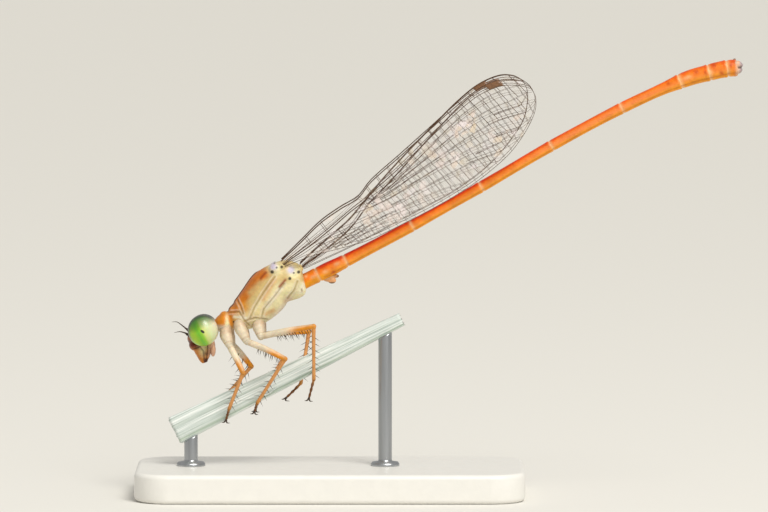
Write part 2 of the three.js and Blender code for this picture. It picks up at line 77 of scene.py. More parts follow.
# Prothorax: x, z, half height above, half height below, half width
PROTHORAX_STATIONS = (
    (-7.16, 10.46, 0.16, 0.16, 0.2),
    (-7.06, 10.5, 0.3, 0.34, 0.36),
    (-6.86, 10.56, 0.48, 0.52, 0.56),
    (-6.62, 10.62, 0.62, 0.6, 0.68),
    (-6.42, 10.68, 0.72, 0.6, 0.7),
    (-6.2, 10.72, 0.62, 0.5, 0.6),
    (-5.9, 10.74, 0.4, 0.4, 0.4),
)

# Abdomen: joints between the ten rings with the diameter there, and each ring's waist
ABDOMEN_JOINTS = (
    (-1.6, 13.21, 0.93),
    (-0.74, 13.64, 0.93),
    (0.99, 14.51, 0.82),
    (5.06, 16.67, 0.74),
    (9.32, 19.07, 0.71),
    (13.64, 21.6, 0.71),
    (17.96, 23.92, 0.72),
    (21.54, 25.56, 0.95),
    (23.33, 26.11, 1.05),
    (24.44, 26.36, 1.07),
    (25.08, 26.4, 0.98),
)
ABDOMEN_WAISTS = (0.93, 0.96, 0.75, 0.66, 0.67, 0.68, 0.71, 1.01, 1.06, 1.05)

# Legs: hip, trochanter, knee, ankle and claws, each x, y, z
LEGS = {
    "front_left": ((-6.42, -0.6, 10.0), (-6.2, -0.9, 9.35), (-5.34, -1.75, 7.73),
                   (-6.22, -1.05, 5.42), (-6.42, -0.84, 4.68)),
    "middle_left": ((-5.56, -0.72, 10.5), (-5.1, -1.05, 9.6), (-2.75, -2.2, 8.63),
                    (-4.48, -1.1, 5.8), (-4.66, -0.84, 5.2)),
    "hind_left": ((-4.4, -0.72, 10.55), (-4.25, -1.05, 9.9), (-0.99, -2.3, 10.64),
                  (-0.99, -1.3, 7.28), (-1.3, -0.96, 6.03)),
    "front_right": ((-6.3, 0.6, 10.0), (-6.08, 0.9, 9.25), (-4.91, 1.9, 7.78),
                    (-6.23, 1.1, 6.28), (-6.54, 0.86, 5.6)),
    "middle_right": ((-5.49, 0.72, 10.4), (-5.14, 1.05, 9.4), (-2.9, 2.2, 8.25),
                     (-4.4, 1.1, 5.92), (-4.6, 0.86, 5.3)),
    "hind_right": ((-4.33, 0.72, 10.5), (-4.2, 1.05, 9.8), (-1.33, 2.3, 9.92),
                   (-1.82, 1.2, 6.8), (-2.7, 0.96, 6.0)),
}

# Wings
WING_PAIRS = {
    "fore": {"base": (-2.9, 14.38), "pitch": 33.3, "root_y": 0.86, "rest_y": 1.22, "settle": 1.2,
             "length": 18.7},
    "hind": {"base": (-1.73, 14.2), "pitch": 37.0, "root_y": 0.5, "rest_y": 0.4, "settle": 2.4,
             "length": 17.72},
}
WING_EDGES = {
    "fore": {
        "leading": ((0.0, 0.2), (1.6, 0.5), (3.3, 0.84), (4.8, 0.9), (6.1, 0.86), (7.4, 1.27),
                    (9.7, 1.6), (12, 1.95), (14, 2.25), (16, 2.42), (17.4, 2.15), (18.3, 1.55),
                    (18.66, 0.9), (18.7, 0.45)),
        "trailing": ((0.0, -0.2), (1.6, -0.5), (3.3, -1.05), (5, -1.6), (6.5, -1.85), (7.8, -2),
                     (9.6, -2.2), (11.9, -2.3), (13.8, -2.2), (15.5, -1.92), (17, -1.34),
                     (18.1, -0.65), (18.6, 0.0), (18.7, 0.45)),
    },
    "hind": {
        "leading": ((0.0, 0.2), (1.3, 0.33), (2.6, 0.42), (4.1, 0.55), (5.8, 0.95), (7.5, 1.35),
                    (9.7, 1.75), (12, 2.1), (13.8, 2.35), (15.4, 2.4), (16.7, 2.1), (17.4, 1.6),
                    (17.7, 1.05), (17.72, 0.75)),
        "trailing": ((0.0, -0.2), (1.4, -0.5), (2.9, -0.82), (4.6, -1.1), (6.4, -1.36), (8, -1.62),
                     (10, -1.92), (12, -2), (13.6, -1.85), (15.2, -1.45), (16.4, -0.96),
                     (17.25, -0.2), (17.62, 0.35), (17.72, 0.75)),
    },
}

# Long veins of the fore wing, distance along and offset; the hind wing's take the same shares
LONG_VEINS = {
    "subcosta": ((0.0, 0.02), (1.37, 0.17), (2.96, 0.35), (4.55, 0.52), (6.1, 0.84)),
    "radius": ((0.0, -0.05), (2.02, 0.04), (3.59, 0.19), (5.22, 0.41), (6.3, 0.5), (7.4, 0.75),
               (9.3, 1.04), (12.7, 1.7), (15.2, 2.07), (16.5, 2.0), (17.5, 1.7), (18.3, 1.1),
               (18.66, 0.7)),
    "radial_2": ((6.3, 0.48), (8, 0.56), (10, 0.8), (12, 1.12), (14, 1.4), (16, 1.4), (17.4, 1.1),
                 (18.6, 0.45)),
    "radial_3": ((7.6, 0.4), (10, 0.5), (12, 0.66), (14, 0.76), (16, 0.6), (17.5, 0.2),
                 (18.5, -0.15)),
    "radial_4": ((6.3, 0.3), (8, 0.16), (10, 0.12), (12, 0.1), (14, 0.0), (16, -0.35), (17.7, -0.95)),
    "radial_5": ((5.4, 0.2), (7, -0.1), (9, -0.3), (11, -0.42), (13, -0.62), (15, -1.0),
                 (16.7, -1.5)),
    "media": ((0.0, -0.1), (1.5, -0.14), (2.4, -0.12), (3.3, -0.14), (5, -0.36), (7, -0.66),
              (9, -0.92), (11, -1.14), (13, -1.5), (14.9, -2.05)),
    "cubitus": ((2.4, -0.3), (3.4, -0.42), (5, -0.76), (6.5, -1.04), (8.5, -1.4), (10.4, -1.8),
                (11.9, -2.3)),
    "anal": ((3.0, -0.62), (4, -0.88), (5, -1.12), (6.6, -1.5), (8.4, -2.06)),
}
VEIN_RADII = {"costa": 0.044, "radius": 0.04, "other": 0.018, "cross": 0.011}

# Cut grass blade and stand
BLADE = {"start": (-9.6, 3.97), "end": (4.4, 10.87), "height": (1.8, 0.84), "thickness": 0.5}
BASE = {"length": 24.0, "width": 11.0, "height": 1.8, "corner": 2.2, "bevel": 0.3}
ROD = {"radius": 0.42, "sides": 40, "places": {"front": -8.6, "rear": 3.4}}


def srgb(red, green, blue):
    """A screen colour of 0 to 255 as linear light."""
    values = []
    for level in (red, green, blue):
        share = level / 255
        values.append(share / 12.92 if share <= 0.04045 else ((share + 0.055) / 1.055) ** 2.4)
    return np.array(values)


def smooth(low, high, value):
    share = np.clip((value - low) / (high - low), 0, 1)
    return share * share * (3 - 2 * share)


def bell(distance, width):
    return np.exp(-(distance / width) ** 2)


def mix(first, second, share):
    share = np.asarray(share)[..., None]
    return first * (1 - share) + second * share


def glide(table, count):
    """A smooth curve through the rows of a table, sampled at even steps of its rows."""
    rows = np.array(table, float)
    padded = np.vstack([2 * rows[0] - rows[1], rows, 2 * rows[-1] - rows[-2]])
    result = []
    for at in np.linspace(0, len(rows) - 1, count):
        i = min(int(at), len(rows) - 2)
        t = at - i
        a, b, c, d = padded[i:i + 4]
        result.append(0.5 * (2 * b + (c - a) * t + (2 * a - 5 * b + 4 * c - d) * t * t
                             + (3 * b - a - 3 * c + d) * t ** 3))
    return np.array(result)


def link_object(name, data):
    obj = bpy.data.objects.new(name, data)
    bpy.context.scene.collection.objects.link(obj)
    return obj


class Shell:
    """Points, faces and colours gathered for one piece, in millimetres."""

    def __init__(self):
        self.points = np.zeros((0, 3))
        self.faces = []
        self.colours = np.zeros((0, 3))

    def add(self, points, faces, colours=None):
        offset = len(self.points)
        points = np.asarray(points, float)
        if colours is None:
            colours = np.ones((len(points), 3))
        self.points = np.vstack([self.points, points])
        self.colours = np.vstack([self.colours, colours])
        self.faces += [tuple(i + offset for i in face) for face in faces]

    def to_object(self, name, material=None):
        mesh = bpy.data.meshes.new(name)
        mesh.from_pydata((self.points * MM).tolist(), [], self.faces)
        mesh.update()
        tint = mesh.attributes.new("tint", "FLOAT_COLOR", "POINT")
        rgba = np.hstack([self.colours, np.ones((len(self.colours), 1))])
        tint.data.foreach_set("color", rgba.astype(np.float32).ravel())
        mesh.shade_smooth()
        if material:
            mesh.materials.append(material)
        return link_object(name, mesh)


class Coat:
    """Colours of a form's points, laid over one another in layers from a palette."""

    def __init__(self, palette, base, count):
        self.palette = palette
        self.colours = np.tile(palette[base], (count, 1))

    def lay(self, name, share):
        self.colours = mix(self.colours, self.palette[name], share)


def ring_faces(rings, sides):
    faces = []
    for i in range(rings - 1):
        for j in range(sides):
            k = (j + 1) % sides
            faces.append((i * sides + j, i * sides + k, (i + 1) * sides + k, (i + 1) * sides + j))
    faces.append(tuple(reversed(range(sides))))
    faces.append(tuple((rings - 1) * sides + j for j in range(sides)))
    return faces


def loft(centres, ups, downs, wides, sides=24, squareness=2.0, across=(0, 1, 0)):
    """Rings swept along centres. Angle 0 is across, a quarter turn is up, square to the path."""
    centres = np.asarray(centres, float)
    along = np.gradient(centres, axis=0)
    along /= np.linalg.norm(along, axis=1)[:, None]
    width = np.broadcast_to(np.asarray(across, float), along.shape)
    rise = np.cross(along, width)
    rise /= np.linalg.norm(rise, axis=1)[:, None]
    width = np.cross(rise, along)
    angles = np.arange(sides) * 2 * math.pi / sides
    c, s = np.cos(angles), np.sin(angles)
    power = 2 / squareness
    c = np.sign(c) * np.abs(c) ** power
    s = np.sign(s) * np.abs(s) ** power
    heights = np.where(s > 0, np.asarray(ups)[:, None] * s, np.asarray(downs)[:, None] * s)
    widths = np.asarray(wides)[:, None] * c
    points = (centres[:, None, :] + heights[..., None] * rise[:, None, :]
              + widths[..., None] * width[:, None, :])
    return points.reshape(-1, 3), ring_faces(len(centres), sides)


def pill(centre, half, sides=24, rings=14, turn=None):
    """An ellipsoid, turned by a matrix where one is given."""
    points = []
    for i in range(rings):
        polar = math.pi * (i + 0.5) / rings
        for j in range(sides):
            angle = 2 * math.pi * j / sides
            points.append((math.sin(polar) * math.cos(angle), math.sin(polar) * math.sin(angle),
                           -math.cos(polar)))
    points = np.array(points) * np.array(half)
    if turn is not None:
        points = points @ np.array(turn.to_3x3().transposed())
    return points + np.array(centre), ring_faces(rings, sides)


def limb(points, radii, sides=14, steps=8):
    """A round tube along a smooth route, with a radius at each of its points."""
    rows = np.hstack([np.array(points, float), np.array(radii, float)[:, None]])
    path = glide(rows, (len(points) - 1) * steps + 1)
    lean = np.abs(path[-1, :3] - path[0, :3])
    across = (0, 1, 0) if lean[1] < 0.8 * np.linalg.norm(lean) else (1, 0, 0)
    return loft(path[:, :3], path[:, 3], path[:, 3], path[:, 3], sides, across=across)


def fuse(shell, name, voxel, rounds):
    """One skin over overlapping forms: remeshed, then relaxed. Returns points and faces, in mm."""
    obj = shell.to_object(name)
    remesh = obj.modifiers.new("fuse", "REMESH")
    remesh.mode = "VOXEL"
    remesh.voxel_size = voxel * MM
    relax = obj.modifiers.new("relax", "SMOOTH")
    relax.factor = 0.5
    relax.iterations = rounds
    graph = bpy.context.evaluated_depsgraph_get()
    result = bpy.data.meshes.new_from_object(obj.evaluated_get(graph))
    points = np.zeros(len(result.vertices) * 3)
    result.vertices.foreach_get("co", points)
    normals = np.zeros(len(result.vertices) * 3)
    result.vertices.foreach_get("normal", normals)
    faces = [tuple(face.vertices) for face in result.polygons]
    bpy.data.objects.remove(obj)
    bpy.data.meshes.remove(result)
    return points.reshape(-1, 3) / MM, faces, normals.reshape(-1, 3)


def line_distance(points, route):
    """Distance in the XZ plane from each point to a route of x, z corners."""
    flat = points[:, (0, 2)]
    best = np.full(len(flat), 1e9)
    for start, end in zip(route[:-1], route[1:]):
        start = np.array(start)
        span = np.array(end) - start
        share = np.clip(((flat - start) @ span) / (span @ span), 0, 1)
        best = np.minimum(best, np.linalg.norm(flat - start - share[:, None] * span, axis=1))
    return best


# Head

HEAD_COLOURS = {
    "crown": srgb(96, 70, 18),
    "face": srgb(120, 42, 6),
    "amber": srgb(206, 124, 24),
    "cream": srgb(232, 214, 160),
    "pink": srgb(214, 168, 138),
    "dark": srgb(70, 30, 8),
    "rear": srgb(206, 176, 120),
}


# Stations across the head: y, forward centre, half depth, above, below
SKULL_STATIONS = (
    (-1.02, -0.06, 0.42, 0.5, 0.56),
    (-0.85, -0.14, 0.56, 0.68, 0.72),
    (-0.45, -0.26, 0.56, 0.76, 0.82),
    (0, -0.3, 0.54, 0.76, 0.84),
    (0.45, -0.26, 0.56, 0.76, 0.82),
    (0.85, -0.14, 0.56, 0.68, 0.72),
    (1.02, -0.06, 0.42, 0.5, 0.56),
)
# Mouthparts hang below: x, z, half length in front and behind, half width
MOUTH_STATIONS = (
    (0.02, -0.5, 0.6, 0.5, 0.76),
    (0.0, -0.88, 0.7, 0.5, 0.7),
    (-0.02, -1.19, 0.6, 0.5, 0.62),
    (0.0, -1.49, 0.46, 0.46, 0.5),
    (0.03, -1.8, 0.3, 0.32, 0.36),
    (0.1, -2.02, 0.16, 0.16, 0.2),
)
# Rounded face plates, then the labium and the jaws behind them: centre and half sizes
FACE_PLATES = (((-0.62, 0, -0.52), (0.37, 0.78, 0.4)), ((-0.53, 0, -0.92), (0.36, 0.6, 0.36)))
JAWS = (
    ((0.52, 0, -1.0), (0.22, 0.42, 0.46)),
    ((0.6, 0.32, -1.25), (0.16, 0.14, 0.4)),
    ((0.6, -0.32, -1.25), (0.16, 0.14, 0.4)),
    ((0.1, -0.5, -1.3), (0.3, 0.16, 0.5)),
    ((0.1, 0.5, -1.3), (0.3, 0.16, 0.5)),
)
# Three simple eyes on the crown: x, y
SIMPLE_EYES = ((-0.62, 0), (-0.42, -0.2), (-0.42, 0.2))
SIMPLE_EYE_HEIGHT, SIMPLE_EYE_RADIUS = 0.62, 0.09
# Grooves between the face plates, the jaw line and the labium: x, z route and strength
HEAD_GROOVES = (
    (((-1.0, -0.34), (-0.7, -0.28), (-0.3, -0.4)), 1.0),
    (((-0.95, -0.72), (-0.6, -0.78), (-0.3, -0.86)), 1.0),
    (((-0.8, -1.24), (-0.45, -1.14), (-0.2, -1.0)), 1.0),
    (((-0.2, -1.0), (0.02, -1.3), (0.06, -1.95)), 0.9),
    (((0.28, -0.85), (0.3, -1.3), (0.2, -1.8)), 0.9),
)
FOLD = {"width": 0.05, "depth": 0.05}
BROW = ((-0.9, -0.5), (-0.5, -0.55))


def on_head(points):
    turn = Matrix.Rotation(math.radians(HEAD["roll"]), 3, "X")
    return np.asarray(points) @ np.array(turn.transposed()) + np.array(HEAD["centre"])


def make_head_points():
    shell = Shell()
    rows = glide(SKULL_STATIONS, 25)
    centres = np.stack([rows[:, 1], rows[:, 0], np.zeros(len(rows))], 1)
    shell.add(*loft(centres, rows[:, 3], rows[:, 4], rows[:, 2], 28, across=(1, 0, 0)))
    for centre, half in FACE_PLATES:
        shell.add(*pill(centre, half))
    rows = glide(MOUTH_STATIONS, 16)
    centres = np.stack([rows[:, 0], np.zeros(len(rows)), rows[:, 1]], 1)
    shell.add(*loft(centres, rows[:, 3], rows[:, 2], rows[:, 4], 28))
    for centre, half in JAWS:
        shell.add(*pill(centre, half))
    for x, y in SIMPLE_EYES:
        shell.add(*pill((x, y, SIMPLE_EYE_HEIGHT), (SIMPLE_EYE_RADIUS,) * 3, 12, 8))
    return fuse(shell, "head_form", 0.034, 3)


def shape_head(points, normals):
    """Presses the grooves into the skin. Returns the points and how deep each lies in a fold."""
    side = smooth(0.12, 0.3, np.abs(points[:, 1]))
    folds = np.zeros(len(points))
    for route, strength in HEAD_GROOVES:
        folds = np.maximum(folds, strength * bell(line_distance(points, route), FOLD["width"]))
    return points - normals * (FOLD["depth"] * folds * side)[:, None], folds * side


def paint_head(points, folds):
    x, y, z = points.T
    coat = Coat(HEAD_COLOURS, "crown", len(points))
    coat.lay("rear", smooth(-0.1, 0.2, x))
    coat.lay("face", smooth(-0.1, -0.35, z) * smooth(-0.25, -0.45, x))
    coat.lay("amber", smooth(-0.95, -1.3, z))
    coat.lay("amber", 0.5 * bell(line_distance(points, BROW), 0.12))
    jaw = bell(np.hypot((x + 0.02) / 0.75, (z + 1.2) / 1.4), 0.3)
    coat.lay("cream", jaw * smooth(0.3, 0.42, np.abs(y)))
    coat.lay("pink", smooth(0.22, 0.42, x) * smooth(-0.5, -0.75, z))
    coat.lay("dark", smooth(-1.62, -1.85, z) * smooth(-0.02, 0.12, x))
    # A dark spot on the jaw and one behind the eye
    coat.lay("dark", 0.75 * bell(np.hypot(x - 0.2, z + 1.45), 0.16))
    coat.lay("dark", 0.9 * bell(np.hypot(x - 0.84, z + 0.5), 0.14))
    coat.lay("dark", 0.75 * folds)
    return coat.colours


# Thorax

THORAX_COLOURS = {
    "carina": srgb(104, 56, 16),
    "back": srgb(206, 112, 14),
    "patch": srgb(232, 150, 26),
    "tan": srgb(214, 186, 122),
    "cream": srgb(240, 228, 176),
    "pale": srgb(238, 222, 200),
    "belly": srgb(224, 190, 156),
    "fold": srgb(146, 116, 74),
    "plate": srgb(214, 204, 220),
    "black": srgb(32, 22, 14),
    "streak": srgb(150, 66, 12),
    "peach": srgb(226, 180, 124),
    "white": srgb(250, 242, 214),
    "shade": srgb(204, 172, 112),
    "collar": srgb(226, 138, 30),
}

# Folds on the thorax's sides, as x, z routes
THORAX_FOLDS = (
    ((-2.84, 13.15), (-3.4, 12.4), (-4.07, 11.6), (-4.2, 11.1)),
    ((-3.4, 13.6), (-4.05, 12.7), (-4.65, 11.7), (-4.94, 11.0)),
    ((-6.2, 11.35), (-5.6, 11.42), (-5.25, 10.85), (-5.0, 10.6)),
    ((-5.72, 12.15), (-5.5, 11.75), (-5.36, 11.3)),
    ((-5.25, 10.85), (-4.6, 11.05), (-3.9, 10.95)),
    ((-2.6, 12.25), (-2.2, 12.75), (-2.0, 13.3)),
)
# Patches on its sides: colour, x, z route and width
THORAX_PATCHES = (
    ("peach", ((-3.45, 13.35), (-4.1, 12.2)), 0.17),
    ("white", ((-1.62, 13.1), (-1.8, 12.65)), 0.17),
    ("white", ((-3.0, 12.9), (-3.9, 11.75)), 0.13),
    ("belly", ((-2.7, 12.05), (-2.5, 12.2)), 0.2),
    ("fold", ((-1.75, 12.8), (-1.72, 12.7)), 0.05),
    ("shade", ((-4.9, 12.6), (-4.3, 13.2)), 0.2),
    ("white", ((-5.9, 11.1), (-5.2, 11.05)), 0.1),
    ("peach", ((-3.9, 11.3), (-3.5, 11.5)), 0.16),
)
THORAX_STREAKS = (((-4.25, 13.5), (-3.95, 13.85)), ((-3.1, 13.0), (-2.75, 13.4)))
# Black dots: x, z and radius
THORAX_DOTS = ((-3.55, 13.89, 0.11), (-3.43, 14.45, 0.09), (-2.96, 14.2, 0.09), (-3.27, 14.17, 0.06),
               (-2.47, 13.49, 0.1), (-1.93, 13.87, 0.1), (-2.22, 13.83, 0.06), (-5.93, 10.78, 0.06))
# Colour, x, z places and width of what the fore and hind wings stand on
WING_PLATE_COLOURS = (("cream", ((-3.3, 14.1), (-2.2, 13.8)), 0.36),
                      ("plate", ((-3.48, 14.22), (-2.4, 14.0)), 0.2))


# Plates and knobs at the left and right wing roots: centre, half sizes, sides and rings
WING_PLATES = (
    ((-3.36, 0.7, 14.0), (0.42, 0.36, 0.38), 24, 14),
    ((-3.4, 0.5, 14.25), (0.2, 0.2, 0.16), 16, 10),
    ((-2.98, 0.8, 14.22), (0.2, 0.2, 0.2), 16, 10),
    ((-2.28, 0.56, 13.7), (0.4, 0.36, 0.4), 24, 14),
    ((-2.45, 0.4, 14.0), (0.2, 0.2, 0.16), 16, 10),
    ((-1.95, 0.52, 13.95), (0.2, 0.2, 0.22), 16, 10),
)
# Stubs that the wings stand on: from, to and radii
WING_STUBS = (
    ((-3.0, 0.8, 14.1), (-2.9, 0.86, 14.34), (0.2, 0.16)),
    ((-1.95, 0.5, 13.9), (-1.74, 0.5, 14.18), (0.24, 0.16)),
)
NECK = {"route": ((-7.6, 0, 10.4), (-7.2, 0, 10.48), (-6.9, 0, 10.55)), "radii": (0.3, 0.26, 0.3)}


def mirrored(point, side):
    return point[0], side * point[1], point[2]


def thorax_frame():
    """Where the thorax starts, and the directions along it and out of its back."""
    pitch = math.radians(THORAX["pitch"])
    start = np.array((THORAX["start"][0], 0, THORAX["start"][1]))
    along = np.array((math.cos(pitch), 0, math.sin(pitch)))
    return start, along, np.array((-math.sin(pitch), 0, math.cos(pitch)))


def thorax_place(points):
    """How far along the thorax's axis and above it each point is."""
    start, along, up = thorax_frame()
    return (points - start) @ along, (points - start) @ up


def make_thorax_points():
    shell = Shell()
    rows = glide(THORAX_STATIONS, 60)
    start, along, up = thorax_frame()
    middle = (rows[:, 1] + rows[:, 2]) / 2
    half = (rows[:, 1] - rows[:, 2]) / 2
    centres = start + rows[:, :1] * along + middle[:, None] * up
    shell.add(*loft(centres, half, half, rows[:, 3], 48, THORAX["squareness"]))
    rows = glide(PROTHORAX_STATIONS, 24)
    centres = np.stack([rows[:, 0], np.zeros(len(rows)), rows[:, 1]], 1)
    shell.add(*loft(centres, rows[:, 2], rows[:, 3], rows[:, 4], 32, 2.2))
    shell.add(*limb(NECK["route"], NECK["radii"], 20))
    for side in (-1, 1):
        for centre, half, sides, rings in WING_PLATES:
            shell.add(*pill(mirrored(centre, side), half, sides, rings))
        for first, last, radii in WING_STUBS:
            shell.add(*limb((mirrored(first, side), mirrored(last, side)), radii, 12))
    return fuse(shell, "thorax_form", 0.05, 3)


def shape_thorax(points, normals):
    """Presses the folds in, each with a raised lip, and lifts the keel along the back."""
    along, up = thorax_place(points)
    side = smooth(0.25, 0.5, np.abs(points[:, 1]))
    folds = np.zeros(len(points))
    lips = np.zeros(len(points))
    for route in THORAX_FOLDS:
        distance = line_distance(points, route)
        folds = np.maximum(folds, bell(distance, FOLD["width"]))
        lips = np.maximum(lips, bell(distance - 0.12, 0.045))
    folds *= side
    lips *= side
    crest = bell(points[:, 1], 0.07) * smooth(0.2, 0.5, along) * smooth(3.4, 3.0, along)
    crest = crest * smooth(0.5, 0.9, up)
    lift = 0.05 * crest + 0.015 * lips - FOLD["depth"] * folds
    return points + normals * lift[:, None], folds, lips, crest


def paint_collar(points):
    """Colours of the prothorax, in front of the big thorax."""
    x, _, z = points.T
    coat = Coat(THORAX_COLOURS, "cream", len(points))
    coat.lay("collar", smooth(-6.35, -6.6, x + 0.15 * (10.6 - z)))
    coat.lay("pale", smooth(10.7, 10.4, z))
    return coat.colours


def paint_thorax(points, folds, lips, crest):
    x, y, z = points.T
    along, up = thorax_place(points)
    table = np.array(THORAX_STATIONS)
    depth = np.interp(along, table[:, 0], table[:, 1]) - up
    coat = Coat(THORAX_COLOURS, "tan", len(points))
    coat.lay("cream", smooth(1.3, 2.1, depth))
    coat.lay("pale", smooth(2.3, 2.8, depth) * smooth(0.5, 1.2, along))
    coat.lay("cream", 0.8 * bell(line_distance(points, ((-5.0, 11.3), (-3.2, 13.0))), 0.3))
    coat.lay("cream", smooth(3.2, 4.2, along) * smooth(1.0, 1.5, depth))
    coat.lay("belly", smooth(2.65, 2.95, depth) * smooth(2.0, 3.2, along))
    # The orange back and its brighter patch, with a brown band along the keel
    coat.lay("back", smooth(0.86, 0.5, depth + 0.1 * np.abs(y)) * smooth(4.1, 3.4, along))
    coat.lay("patch", 0.85 * bell(np.hypot(x + 5.35, (z - 11.7)), 0.42))
    coat.lay("patch", 0.5 * smooth(0.9, 0.3, along) * smooth(1.6, 0.9, depth))
    band = smooth(0.26, 0.08, np.abs(y)) * smooth(0.5, 0.3, depth) * smooth(3.4, 2.9, along)
    coat.lay("carina", band)
    coat.lay("carina", np.clip(crest * 1.2, 0, 1))
    for name, route, width in THORAX_PATCHES:
        coat.lay(name, 0.85 * bell(line_distance(points, route), width))
    # Painted highlight: a pale line along the raised lip beside each fold
    coat.lay("pale", 0.5 * np.clip(lips, 0, 1))
    coat.lay("fold", 0.6 * folds)
    # The plates at the wing roots and the lilac knobs on them
    for name, spots, width in WING_PLATE_COLOURS:
        near = np.maximum(*(bell(np.hypot(x - spot_x, z - spot_z), width) for spot_x, spot_z in spots))
        coat.lay(name, np.clip(near * 1.5, 0, 1))
    front = smooth(-6.12, -6.3, x + 0.25 * (z - 10.7))
    coat.colours = mix(coat.colours, paint_collar(points), front)
    side = smooth(0.2, 0.4, np.abs(y))
    for route in THORAX_STREAKS:
        coat.lay("streak", 0.9 * bell(line_distance(points, route), 0.085) * side)
    for dot_x, dot_z, size in THORAX_DOTS:
        spot = smooth(size * 1.25, size * 0.7, np.hypot(x - dot_x, z - dot_z))
        coat.lay("black", 0.92 * spot * side)
    return coat.colours


# Abdomen

ABDOMEN_COLOURS = {
    "red": srgb(232, 52, 2),
    "orange": srgb(250, 126, 0),
    "amber": srgb(255, 164, 6),
    "salmon_highlight": srgb(252, 146, 84),
    "ring": srgb(255, 206, 150),
    "rust": srgb(196, 74, 8),
    "lilac": srgb(176, 158, 160),
    "pale": srgb(236, 190, 160),
    "dark": srgb(66, 40, 24),
    "flesh": srgb(226, 166, 112),
}
# Spots on the rings: ring number with share along it, height on the side and length
ABDOMEN_BLOTCHES = ((7.5, 0.55, 0.1), (8.28, 0.75, 0.12), (8.6, -0.35, 0.14), (6.78, 0.5, 0.03),
                    (7.85, 0.2, 0.06), (9.3, 0.4, 0.12), (1.6, -0.5, 0.08))
# Painted highlights on the rings: ring number with share along it, height on the side and length
ABDOMEN_SHEENS = ((0.75, 0.1, 0.2), (0.3, 0.6, 0.15), (1.35, 0.0, 0.12), (1.8, 0.25, 0.08),
                  (7.2, 0.2, 0.12), (8.05, 0.1, 0.1))
ABDOMEN_STEPS = {"per_mm": 12, "sides": 40, "rows_per_ring": 12}


def abdomen_profile():
    """Centres, radii and ring number plus share along it, from the thorax to the tip."""
    joints = np.array(ABDOMEN_JOINTS)
    rows = ABDOMEN_STEPS["rows_per_ring"]
    curve = glide(joints[:, :2], rows * (len(joints) - 1) + 1)
    centres, radii, places = [], [], []
    for i, waist in enumerate(ABDOMEN_WAISTS):
        length = np.linalg.norm(joints[i + 1, :2] - joints[i, :2])
        count = max(int(length * ABDOMEN_STEPS["per_mm"]), 12)
        start, end = joints[i, 2] / 2, joints[i + 1, 2] / 2
        shape_at = np.array((0, 0.3, 0.5, 0.72, 1.0))
        shape = np.array((start, start + 0.8 * (waist / 2 - start), waist / 2,
                          waist / 2 + 0.25 * (end - waist / 2), end))
        for step in range(count):
            share = step / count
            distance = share * length
            radius = np.interp(share, shape_at, shape)
            # A narrow neck behind each joint and a soft lip in front of it
            neck = bell(distance, 0.07) + bell(length - distance, 0.035)
            lip = bell(length - distance - 0.13, 0.1)
            radius *= 1 - 0.1 * min(neck, 1) * (i > 0 or share > 0.5) + 0.035 * lip
            row = (i + share) * rows
            k = min(int(row), len(curve) - 2)
            centres.append(curve[k] + (row - k) * (curve[k + 1] - curve[k]))
            radii.append(radius)
            places.append(i + share)
    return np.array(centres), np.array(radii), np.array(places)


def add_abdomen(shell):
    centres, radii, places = abdomen_profile()
    # The first rings reach back into the thorax, the last closes round the tip
    lead = centres[0] - (centres[3] - centres[0]) * 1.6
    last = centres[-1]
    centres = np.vstack([lead, centres, last + np.array((0.06, 0.01)), last + np.array((0.1, 0.01))])
    radii = np.concatenate([[radii[0]], radii, [radii[-1] * 0.8, radii[-1] * 0.4]])
    places = np.concatenate([[0], places, [9.99, 9.99]])
    path = np.stack([centres[:, 0], np.zeros(len(centres)), centres[:, 1]], 1)
    sides = ABDOMEN_STEPS["sides"]
    points, faces = loft(path, radii, radii * 0.97, radii * 0.95, sides, 2.1)
    rise = np.sin(np.tile(np.arange(sides) * 2 * math.pi / sides, len(path)))
    place = np.repeat(places, sides)
    # The back plate overlaps the belly plate along a fine fold low on each side
    fold = bell(rise + 0.62, 0.1) * smooth(1.1, 1.3, place)
    outward = points - np.repeat(path, sides, 0)
    points = points - outward * (0.05 * fold)[:, None]
    shell.add(points, faces, paint_abdomen(place, rise, fold))


